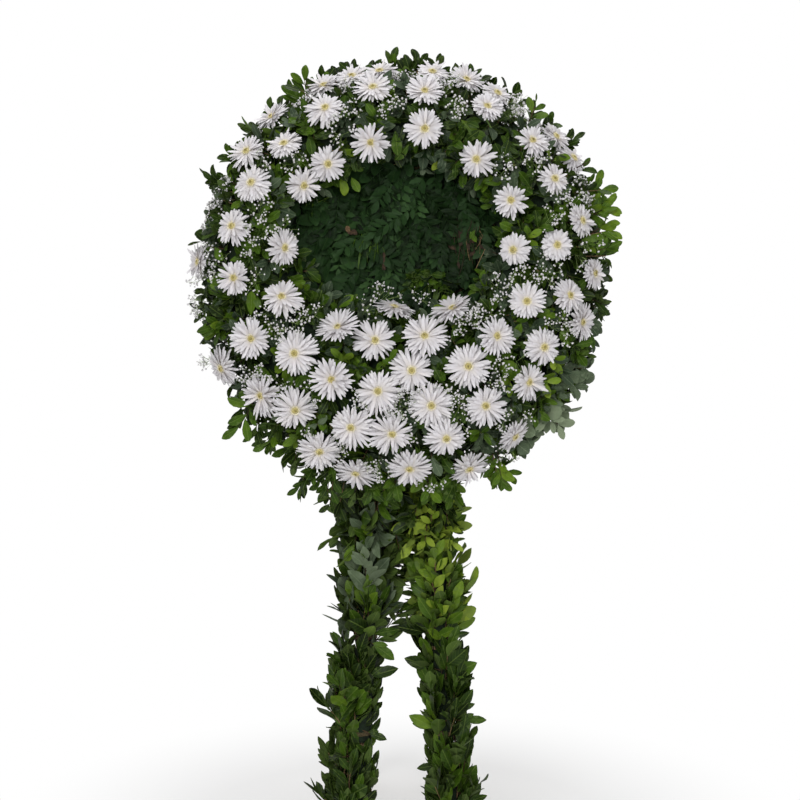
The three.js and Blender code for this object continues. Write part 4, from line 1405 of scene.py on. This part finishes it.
def gerbera_pick(number, pick):
    """One to three gerberas whose stems meet on a pick inside the leaves."""
    draws = random.Random(300 + number)
    gathering = Gathering()
    foot = np.mean([flower.point - flower.normal * HEAD_LIFT for flower in pick], axis=0)
    foot = foot - unit(np.sum([flower.normal for flower in pick], axis=0)) * PICK_DEPTH
    for flower in pick:
        upright = unit(np.cross(flower.facing, (0.3, 0.2, 0.9)))
        spin = turned_about(upright, flower.facing, draws.uniform(0, FULL_TURN))
        share = 1.0 if flower.low else 0.96
        if flower.point[0] > RIGHT_LINE * MM:
            share -= 0.05
        head = gerbera(draws, flower.radius * share + draws.uniform(-1.5, 2.5) * MM)
        gathering.add(head, WREATH @ placed(flower.point, spin, flower.facing))
        neck = flower.point - flower.facing * 12 * MM
        bow = neck - flower.facing * 14 * MM
        radii = (2.7 * MM, 2.3 * MM, 2.3 * MM, 2.2 * MM)
        stem = tube([neck, bow, lerp(bow, foot, 0.5), foot], radii, 7, 0.6)
        gathering.add(stem, WREATH, 0.0, ON_CALYX)
    return gathering.shape()


# ---- Baby's breath ------------------------------------------------------------------------------

BREATH_FINISHES = (BREATH, CALYX)
ON_FLORET, ON_THREAD = range(2)
FLORET_RADIUS = 2.6 * MM
LONG_SPRAY, RIM_SPRAY = 82 * MM, 58 * MM
RIM_LINE = 450  # sprays further than this from the middle, in millimetres, are the shorter ones
FLORET_EDGE = 1.1  # the corners of a unit floret's faces are nearer each other than this


def small_floret(draws):
    """A lumpy little double flower, made from a ball of twenty faces."""
    phi = (1 + math.sqrt(5)) / 2
    signs = [(s, t * phi) for s in (-1, 1) for t in (-1, 1)]
    corners = [(0, s, t) for s, t in signs] + [(s, t, 0) for s, t in signs]
    corners += [(t, 0, s) for s, t in signs]
    base = np.array([unit(corner) for corner in corners])
    points = np.array([corner * draws.uniform(0.72, 1.18) for corner in base])
    faces = []
    for i, j, k in itertools.combinations(range(len(base)), 3):
        a, b, c = base[i], base[j], base[k]
        if max(np.linalg.norm(side) for side in (a - b, b - c, a - c)) < FLORET_EDGE:
            faces.append((i, j, k) if np.dot(np.cross(b - a, c - a), a) > 0 else (i, k, j))
    return Shape(points, faces)


floret_draws = random.Random(17)
FLORETS = [small_floret(floret_draws) for _ in range(5)]


def breath_spray(draws, gathering, root, along, length):
    """A thin stem that forks and forks again, with a white floret at each end."""

    def thread(start, end, thick, thin, tone):
        radii = (thick * MM, thin * MM)
        gathering.add(tube([start, end], radii, 3, tone), WREATH, 0.0, ON_THREAD)

    along = unit(along)
    fork = root + along * length * 0.45
    thread(root, fork, 0.8, 0.6, 0.6)
    for _ in range(draws.randint(6, 7)):
        branch = unit(along + unit(astray(draws)) * 0.75)
        end = fork + branch * length * draws.uniform(0.22, 0.45)
        thread(fork, end, 0.4, 0.3, 0.8)
        for _ in range(draws.randint(4, 6)):
            way = unit(branch + unit(astray(draws)) * 0.95)
            tip = end + way * length * draws.uniform(0.08, 0.24)
            if covers_a_flower([tip], reach=0.86, below=4 * MM):
                continue
            thread(end, tip, 0.25, 0.22, 1.0)
            size = FLORET_RADIUS * draws.choice((0.5, 0.8, 0.95, 1.05, 1.15))
            local = scaled(placed(tip, astray(draws), (0.2, 0.3, 0.9)), size)
            floret = draws.choice(FLORETS)
            gathering.add(floret, WREATH @ local, draws.uniform(0.3, 0.9), ON_FLORET)


def babys_breath(first, last, seed):
    """The sprays from one spot of the list to another."""
    draws = random.Random(seed)
    gathering = Gathering()
    for x, y, count in BABYS_BREATH[first:last]:
        longest = RIM_SPRAY if math.hypot(x, y) > RIM_LINE else LONG_SPRAY
        for _ in range(count):
            spot = ((x + draws.gauss(0, 16)) * MM, (y + draws.gauss(0, 16)) * MM)
            point, normal = ring_point_over(*spot, -14 * MM)
            along = normal + astray(draws, 0.28) + (0, 0, 0.35)
            breath_spray(draws, gathering, point, along, longest * draws.uniform(0.88, 1.14))
    return gathering.shape()


# ---- Leaves on the legs -------------------------------------------------------------------------

BUNCH_FINISHES = (*LEAF_FINISHES, TWINE)
ON_TWINE = len(LEAF_FINISHES)

# The twigs of a bunch, tier by tier: how high up it they start, how many there are, and how far
# they splay in degrees.
BUNCH_TIERS = ((0.03, 10, 12, 30), (0.22, 10, 6, 26), (0.42, 10, 2, 20), (0.62, 7, 2, 15))
# Single shoots that stand out of the legs: side, height in metres, way in degrees from the right,
# how far out they start and their leaf's length in millimetres, and its tone.
LEG_SHOOTS = (
    (LEFT, 0.547, -34, 22, 66, 0.52), (LEFT, 0.452, 20, 20, 68, 0.20),
    (LEFT, 0.470, 205, 44, 46, 0.10), (LEFT, 0.270, 184, 44, 44, -0.02),
    (LEFT, 0.395, 196, 40, 44, 0.30), (RIGHT, 0.557, 168, 34, 72, 0.04),
    (RIGHT, 0.471, 158, 26, 70, 0.14), (RIGHT, 0.322, 150, 28, 70, 0.72),
    (RIGHT, 0.338, 172, 22, 56, 0.60), (RIGHT, 0.352, 4, 46, 58, 0.36),
    (RIGHT, 0.366, 22, 34, 48, 0.30), (RIGHT, 0.547, 14, 30, 44, 0.16),
    (RIGHT, 0.250, 188, 22, 50, 0.20), (LEFT, 0.330, -20, 20, 46, 0.16),
)
# For each bunch from the lowest: how far its twigs splay, the size of its leaves, and how far it
# stands outside its leg in millimetres on the left and on the right.
BUNCH_HABITS = ((0.36, 0.92, 26, 8), (0.46, 0.98, 26, 8), (0.74, 1.0, 8, -6))
BUNCH_STEP = (BUNCH_TOP - BUNCH_BOTTOM) / BUNCHES
BINDING_TURNS, BINDING_RADIUS, BINDING_STEPS = 3, 27 * MM, 12


def binding(gathering, side, height):
    """A few turns of twine round a leg at a height."""
    path = []
    for i in range(BINDING_STEPS * BINDING_TURNS + 1):
        centre = leg_at(side, height + 3.2 * MM * i / BINDING_STEPS)
        path.append(centre + heading(FULL_TURN * i / BINDING_STEPS) * BINDING_RADIUS)
    gathering.add(tube(path, 1.3 * MM, 5, 0.1), None, 0.0, ON_TWINE)


def leg_shoots(gathering, draws, side, low):
    """The single shoots of one bunch, each with a larger and a smaller leaf."""
    for shoot_side, height, way, start, length, tone in LEG_SHOOTS:
        if shoot_side != side or not low <= height < low + BUNCH_STEP:
            continue
        out = np.array((math.cos(math.radians(way)), -0.12, math.sin(math.radians(way))))
        foot = leg_at(side, height) + (0, -24 * MM, 0)
        root = foot + out * start * MM
        gathering.add(tube([foot, root], (1.5 * MM, 1.1 * MM), 5, 0.4), None, 0.0, ON_TWIG)
        for turn, share in ((0, 1), (0.5, 0.6)):
            whole = placed(root - out * 8 * turn * MM, out + (0, 0, turn), (0.1 * side, -1, 0.5))
            leaf = scaled(whole, length * share * MM)
            gathering.add(draws.choice(LEG_LEAVES), leaf, tone, ON_LEAF)


def leg_bunch(side, index):
    """Leafy twigs tied upright round a front leg, with their cut ends showing below the tie."""
    draws = random.Random(500 + 10 * index + side)
    gathering = Gathering()
    low = BUNCH_BOTTOM + BUNCH_STEP * index
    side_tone = 0.46 if side == RIGHT else 0.32
    upright = np.array((0, math.tan(LEAN), 1))
    splay, leaf_share, left_shift, right_shift = BUNCH_HABITS[index]
    shift = np.array((side * (left_shift if side == LEFT else right_shift) * MM, 0, 0))
    top_bunch = index == BUNCHES - 1
    for tier, (share, count, least, most) in enumerate(BUNCH_TIERS):
        for i in range(count):
            out = heading(FULL_TURN * (i + 0.5 * (tier % 2) + draws.uniform(-0.35, 0.35)) / count)
            outward = shift * (0.5 + 0.5 * side * out[0])
            root = leg_at(side, low + BUNCH_STEP * share + draws.uniform(0, 26) * MM)
            root = root + out * draws.uniform(17, 23) * MM
            stray = 22 if draws.random() < 0.14 else 0
            tilt = math.radians(draws.uniform(least, most) * splay + stray)
            along = out * math.sin(tilt) + upright * math.cos(tilt)
            length = draws.uniform(70, 118) * MM
            size = draws.choice((56, 64, 72, 78, 84)) * leaf_share * MM
            rises = (lerp(46, 22, (splay - 0.4) / 0.5), 70)
            if side == LEFT and not top_bunch and out[0] > 0.15:  # close along the inner side
                along = out * math.sin(tilt * 0.4) + upright
                size, rises = size * 0.86, (54, 76)
            leaves = LEG_LEAVES if draws.random() < 0.8 else GLOSSY_LEAVES
            twig = leafy_twig(draws, length, 7, size * 1.07, rises, 0.12, 2.0 * MM, leaves, 0.62)
            tone = side_tone + draws.choice((-0.32, -0.24, -0.12, -0.04, 0.08, 0.24))
            # Painted light: on the right leg the top bunch is lighter, most towards its top, and
            # the lower bunches are darker.
            if side == RIGHT:
                tone += 0.18 + 0.14 * share if top_bunch else -0.16
            grey = side == LEFT and top_bunch and draws.random() < 0.35
            finish = ON_GREY if grey else ON_LEAF
            twig.plant(gathering, placed(root + outward, along, out), tone, finish)
            if tier == 0:
                cut = root - unit(along) * draws.uniform(22, 50) * MM + out * 4 * MM
                path, radii = [root + outward, cut + outward * 0.6], (2.2 * MM, 2.6 * MM)
                end = tube(path, radii, 6, draws.uniform(0.25, 0.9))
                gathering.add(end, None, 0.0, ON_TWIG)
    leg_shoots(gathering, draws, side, low)
    core = [leg_at(side, low + BUNCH_STEP * share) for share in (0.02, 0.5, 0.98)]
    # A near-black sleeve of packing in the bunch's heart, as painted shade.
    sleeve = tube(core, (25 * MM, 27 * MM, 25 * MM), 12, 0.2)
    gathering.add(sleeve, None, 0.0, ON_SHADED_PACKING)
    binding(gathering, side, low + 22 * MM)
    return gathering.shape()


def collar_bunch(side):
    """Twigs that hang from under the ring over the legs' tops, stand up behind them or close the
    gap between the legs."""
    draws = random.Random(600 + side)
    gathering = Gathering()
    side_tone = 0.46 if side == RIGHT else 0.28

    def plant(height, spread, out, tilt, down, length, flat):
        share = (height - BUNCH_TOP) / (COLLAR_TOP - BUNCH_TOP)
        if side == RIGHT and out[0] > 0:
            spread, tilt = spread * 0.5, tilt * 0.7
        root = leg_at(side, height) + out * np.array((spread, spread * 0.72, 0)) * MM
        root[1] -= 20 * MM * max(share, 0)
        level = np.array((0, down * math.tan(LEAN), down))
        along = out * math.sin(tilt) + level * math.cos(tilt)
        size = draws.uniform(54, 76) * MM
        leaves = LEG_LEAVES if draws.random() < 0.7 else GLOSSY_LEAVES
        twig = leafy_twig(
            draws, length * MM, 8, size * 1.04, (20, 62), 0.10, 1.9 * MM, leaves, flat
        )
        tone = side_tone + draws.choice((-0.26, -0.14, 0.0, 0.10, 0.30))
        # Painted shade: darker towards the top, under the ring.
        tone = tone - 0.3 * max(share - 0.35, 0)
        # Painted light: the right collar's lower half is lightened against the ring's shadow.
        if side == RIGHT and share < 0.6:
            tone += 0.38
        finish = ON_GREY if side == LEFT and draws.random() < 0.22 else ON_LEAF
        twig.plant(gathering, placed(root, along, out), tone, finish)

    count = 58
    for i in range(count):
        share = (i + draws.random()) / count
        hanging = i % 3 == 0
        height = draws.uniform(0.85, 0.985) if hanging else lerp(0.74, 0.985, share)
        tilt = math.radians(draws.uniform(6, 36))
        out = heading(i * GOLDEN_ANGLE + draws.uniform(-0.3, 0.3))
        length = draws.uniform(70, 120)
        plant(height, lerp(24, 54, share), out, tilt, -1 if hanging else 1, length, 0.55)
    count = 16
    for i in range(count):
        inward = (math.pi if side == RIGHT else 0) - side * draws.uniform(-0.7, 0.9)
        tilt = math.radians(draws.uniform(20, 58))
        height, length = lerp(0.655, 0.93, i / (count - 1)), draws.uniform(48, 70)
        plant(height, 20, heading(inward), tilt, 1 if i % 4 else -1, length, 0.4)
    core = []
    for share in (0.0, 0.5, 0.97):
        height = BUNCH_TOP + (COLLAR_TOP - BUNCH_TOP) * share
        core.append(leg_at(side, height) + np.array((0, -14 * MM * share, 0)))
    # A near-black sleeve of packing in the collar's heart, as painted shade.
    sleeve = tube(core, (27 * MM, 40 * MM, 40 * MM), 12, 0.2)
    gathering.add(sleeve, None, 0.0, ON_SHADED_PACKING)
    return gathering.shape()


# ---- Straw core ---------------------------------------------------------------------------------

CORE_FINISHES = (STRAW, TWINE)
ON_STRAW, ON_STITCH = range(2)
RIDGES = 9  # turns of straw rope between the middle and the edge
ROUNDING = 12 * MM  # the edge's
STALKS = 1500
STITCHES = 14  # lines of twine across the back


def straw_disc():
    """A disc sewn from a coil of straw rope, so that its back is ridged in circles."""
    profile = [(0, 0)]
    steps = RIDGES * 6
    for i in range(steps):
        share = (i + 0.5) / steps
        bump = abs(math.sin(math.pi * share * RIDGES))
        profile.append((CORE_RADIUS * 0.965 * share, (7 - 7 * bump**0.6) * MM))
    for i in range(1, 10):
        angle = math.pi * i / 10
        r = CORE_RADIUS - ROUNDING + ROUNDING * math.sin(angle)
        profile.append((r, CORE_THICK / 2 - (CORE_THICK / 2) * math.cos(angle)))
    profile.extend(((CORE_RADIUS * 0.6, CORE_THICK - 1 * MM), (0, CORE_THICK - 1 * MM)))

    def unevenness(angle, row):
        return (draw(int(angle * 41) + row * 3) - 0.5) * 1.6 * MM

    return turned_profile(profile, 96, unevenness)


def straw_core():
    """The disc with straw lying round it in circles, some stalks astray, sewn with twine."""
    draws = random.Random(700)
    gathering = Gathering()
    gathering.add(straw_disc(), WREATH, 0.45, ON_STRAW)
    for _ in range(STALKS):
        r = CORE_RADIUS * math.sqrt(draws.uniform(0.004, 0.93))
        start = draws.uniform(0, FULL_TURN)
        length = draws.uniform(50, 130) * MM
        turn = min(length / r, 1.6)
        drift = draws.gauss(0, 9) * MM
        height = draws.uniform(-1.0, 2.2) * MM
        path = []
        for k in range(3):
            reach = min(r + drift * (k - 1), CORE_RADIUS * 0.975)
            lift = up(height + draws.uniform(-0.5, 0.5) * MM)
            path.append(heading(start + turn * k / 2) * reach + lift)
        thick = draws.uniform(1.1, 1.9) * MM
        stalk = tube(path, thick, 3, draws.choice((0.1, 0.35, 0.55, 0.75, 1.0)))
        gathering.add(stalk, WREATH, 0.0, ON_STRAW)
    for i in range(STITCHES):
        angle = FULL_TURN * (i + 0.5) / STITCHES
        path = []
        for k in range(19):
            reach = lerp(0.05, 0.985, k / 18)
            out = heading(angle + 0.02 * math.sin(k * 1.7)) * CORE_RADIUS * reach
            path.append(out + up(-2.6 * MM + 2.8 * MM * (k % 2)))
        gathering.add(tube(path, 1.6 * MM, 5, 0.8), WREATH, 0.0, ON_STITCH)
    return gathering.shape()


# ---- Nails and ties -----------------------------------------------------------------------------

FASTENING_FINISHES = (NAIL, TWINE)
ON_NAIL, ON_TIE = range(2)
RAIL_THICK = 24 * MM
RAILS = ("wreath_rail_upper", "wreath_rail_lower")
TIES = (-205, -118, 105, 192)  # where along each rail its ties are, in millimetres
NAIL_OUTLINE = ((0, -1.0), (3.8, -1.0), (4.4, 0.4), (3.6, 1.1), (0, 1.2))
# A tie's way round a rail: up and towards the viewer from the rail's middle, in millimetres.
TIE_CORNERS = (
    (10, -13.4), (18, -13.4), (21.2, -10), (21.2, 12),
    (-21.2, 12), (-21.2, -10), (-18, -13.4), (-10, -13.4),
)
rear_low, rear_high = (np.array(corner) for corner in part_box("rear_leg_right"))
REAR_FOOT = np.array((rear_high[0] - BATTEN_WIDE / 2, rear_high[1] - BATTEN_DEEP / 2, 0.0))
REAR_HEAD = np.array((rear_low[0] + BATTEN_WIDE / 2, rear_low[1] + BATTEN_DEEP / 2, rear_high[2]))
REAR_LEAN = math.atan2(REAR_FOOT[1] - REAR_HEAD[1], REAR_HEAD[2])
REARWARD = np.array((0.0, math.cos(REAR_LEAN), math.sin(REAR_LEAN)))


def rear_leg_at(side, height):
    return lerp(REAR_FOOT, REAR_HEAD, height / REAR_HEAD[2]) * (side, 1, 1)


def middle_of(node):
    low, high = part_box(node)
    return (np.array(low) + np.array(high)) / 2


def nail_head(gathering, place, facing):
    """A flat round nail head standing a little out of a batten."""
    head = turned_profile(in_metres(NAIL_OUTLINE), 12)
    gathering.add(head, placed(place, (1, 0, 0), facing), 0.5, ON_NAIL)


def rail_tie(gathering, rail, x):
    """Turns of twine round a rail that hold the straw against it."""
    path = []
    for i, (upward, out) in enumerate(4 * TIE_CORNERS):
        slip = np.array((x + 0.45 * i, 0, 0))
        path.append(rail + (slip + UPWARD * upward + FACING * out) * MM)
    gathering.add(tube(path, 1.5 * MM, 5, 1.0), None, 0.0, ON_TIE)


def nails_and_ties():
    """Nail heads wherever the battens meet, seen from behind, and the ties round the rails."""
    draws = random.Random(800)
    gathering = Gathering()
    stretcher = middle_of("rear_stretcher")
    upward = np.array((0, -math.sin(REAR_LEAN), math.cos(REAR_LEAN)))
    for side in (LEFT, RIGHT):
        for lift in (-9 * MM, 9 * MM):
            stray = np.array((draws.uniform(-5, 5), 0, 0)) * MM
            place = stretcher * (0, 1, 1) + rear_leg_at(side, stretcher[2] + lift) * (1, 0, 0)
            place = place + stray + upward * lift + REARWARD * RAIL_THICK / 2
            nail_head(gathering, place, REARWARD)
            for node, gap in (("top_block", 2), ("side_brace_right", 0.9)):
                place = rear_leg_at(side, middle_of(node)[2] + lift * gap)
                nail_head(gathering, place - stray + REARWARD * BATTEN_DEEP / 2, REARWARD)
            for node in RAILS:
                place = leg_at(side, middle_of(node)[2] + lift) + stray
                nail_head(gathering, place - FACING * BATTEN_DEEP / 2, -FACING)
    for node in RAILS:
        for x in TIES:
            rail_tie(gathering, middle_of(node), x)
    return gathering.shape()


# ---- Putting it together ------------------------------------------------------------------------

BREATH_PIECES = 4

for number, pick in enumerate(picks, 1):
    flower_nodes = [f"gerbera_pick_{number:02d}"]
    shape = gerbera_pick(number, pick)
    make_piece(f"gerberas_{number:02d}", shape, BLOOM_FINISHES, flower_nodes)
for sector in range(SECTORS):
    ring_nodes = [f"ring_foliage_{sector + 1}"]
    shape = ring_leaves(sector)
    make_piece(f"ring_leaves_{sector + 1}", shape, LEAF_FINISHES, ring_nodes)
make_piece("field_leaves", field_leaves(), LEAF_FINISHES, ["field_foliage"])
for part in range(BREATH_PIECES):
    first, last = (len(BABYS_BREATH) * end // BREATH_PIECES for end in (part, part + 1))
    shape = babys_breath(first, last, 400 + part)
    make_piece(f"babys_breath_{part + 1}", shape, BREATH_FINISHES)
for side, word in SIDES:
    collar_nodes = [f"collar_bunch_{word}"]
    shape = collar_bunch(side)
    make_piece(f"collar_leaves_{word}", shape, LEAF_FINISHES, collar_nodes)
    for index in range(BUNCHES):
        bunch_nodes = [f"leg_bunch_{word}_{index + 1}"]
        shape = leg_bunch(side, index)
        make_piece(f"leg_leaves_{word}_{index + 1}", shape, BUNCH_FINISHES, bunch_nodes)
make_piece("coiled_straw_core", straw_core(), CORE_FINISHES, ["straw_core"])
make_piece("nails_and_ties", nails_and_ties(), FASTENING_FINISHES)

for wood, battens in (
    (UPRIGHT_WOOD, ("front_leg_left", "front_leg_right", "rear_leg_left", "rear_leg_right")),
    (LEVEL_WOOD, ("top_block", "rear_stretcher", *RAILS)),
    (DEPTH_WOOD, ("side_brace_left", "side_brace_right")),
):
    for node in battens:
        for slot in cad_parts[node].material_slots:
            slot.material = wood

# ---- Floor, light and camera --------------------------------------------------------------------

BRIGHT_FLOOR = (0.25, 1.1)  # metres from the middle over which the floor turns into the white room
FLOOR_GLOW = 0.3  # the floor's own glow under the wreath, as the camera sees it
BLACK, WHITE = (0, 0, 0), (1, 1, 1)
FLOOR_GREYS = ((0.84, 0.84, 0.84), (0.87, 0.87, 0.87))


def seen_by_camera(tree):
    return place_node(tree, "ShaderNodeLightPath").outputs["Is Camera Ray"]


def mapped(tree, value, low, high, **settings):
    """A value's share of the way from low to high."""
    values = {"Value": value, "From Min": low, "From Max": high}
    return place_node(tree, "ShaderNodeMapRange", values, **settings)


def pale_floor():
    """A pale floor with a soft shadow, that fades into the white room."""
    material, tree, shader = new_finish("pale floor")
    patches, _ = mottled(tree, 1.2, 60.0, 0.3)
    spot = {0: object_place(tree)}
    reach = place_node(tree, "ShaderNodeVectorMath", spot, operation="LENGTH").outputs["Value"]
    far = mapped(tree, reach, *BRIGHT_FLOOR, interpolation_type="SMOOTHSTEP").outputs["Result"]
    glow = times(tree, math_node(tree, "MAXIMUM", far, FLOOR_GLOW), seen_by_camera(tree))
    grey = colour_ramp(tree, patches, evenly(*FLOOR_GREYS))
    give(tree, shader, {
        "Base Color": mix_colours(tree, glow, grey, BLACK),
        "Emission Color": mix_colours(tree, glow, BLACK, WHITE),
        "Emission Strength": 1.0,
        "Roughness": 0.9,
        "Specular IOR Level": 0.0,
    })
    bpy.ops.mesh.primitive_circle_add(vertices=96, radius=60, fill_type="NGON", location=(0, 0, 0))
    floor = bpy.context.object
    floor.name = "floor"
    floor.data.materials.append(material)


def put_in_scene(name, data, place, aim):
    """A lamp or camera in its place, looking at a point."""
    made = bpy.data.objects.new(name, data)
    bpy.context.scene.collection.objects.link(made)
    made.location = place
    made.rotation_euler = (Vector(aim) - Vector(place)).to_track_quat("-Z", "Y").to_euler()
    return made


# Each round soft lamp: its name, place, what it is aimed at, width and power.
LAMPS = (
    ("key", (-1.1, -3.8, 3.0), (0, -0.2, 1.25), 2.4, 81),
    ("fill", (2.2, -3.6, 1.7), (0, -0.2, 1.1), 2.2, 30),
    ("floor wash", (0, 0.6, 4.2), (0, 0, 0), 2.5, 40),
)
ROOM_BELOW, ROOM_ABOVE = 0.19, 0.70  # the white room's light from below and from overhead


def studio():
    """A white room: seen as plain white, but it lights the wreath more from above than below."""
    world = bpy.data.worlds.new("soft white room")
    bpy.context.scene.world = world
    world.use_nodes = True
    tree = world.node_tree
    way = place_node(tree, "ShaderNodeTexCoord").outputs["Generated"]
    height = place_node(tree, "ShaderNodeSeparateXYZ", {"Vector": way}).outputs["Z"]
    lit = mapped(tree, height, -0.3, 1.0)
    give(tree, lit, {"To Min": ROOM_BELOW, "To Max": ROOM_ABOVE})
    strength = math_node(tree, "MAXIMUM", lit.outputs["Result"], seen_by_camera(tree))
    give(tree, tree.nodes["Background"], {"Color": (*WHITE, 1), "Strength": strength})
    for name, place, aim, size, power in LAMPS:
        data = bpy.data.lights.new(name, "AREA")
        data.shape = "DISK"
        data.size = size
        data.energy = power
        put_in_scene(name, data, place, aim)
    scene = bpy.context.scene
    scene.view_settings.view_transform = "Standard"
    scene.view_settings.look = "None"


CAMERA_HEIGHT, CAMERA_DISTANCE, CAMERA_ASIDE = 1.66, 4.5, -0.007
WREATH_FRONT = 0.09  # how far the middle of the flowers stands before the core's back
DOWNWARD_TILT = math.radians(6.75)
SENSOR_WIDTH = 36
FOCAL_SHARE = 2.36  # focal length over the sensor's width


def camera():
    data = bpy.data.cameras.new("camera")
    data.sensor_width = SENSOR_WIDTH
    data.lens = SENSOR_WIDTH * FOCAL_SHARE
    before = WREATH[1, 3] - WREATH_FRONT - CAMERA_DISTANCE
    place = Vector((CAMERA_ASIDE, before, CAMERA_HEIGHT))
    view = Vector((0, math.cos(DOWNWARD_TILT), -math.sin(DOWNWARD_TILT)))
    bpy.context.scene.camera = put_in_scene("camera", data, place, place + view)


pale_floor()
studio()
camera()
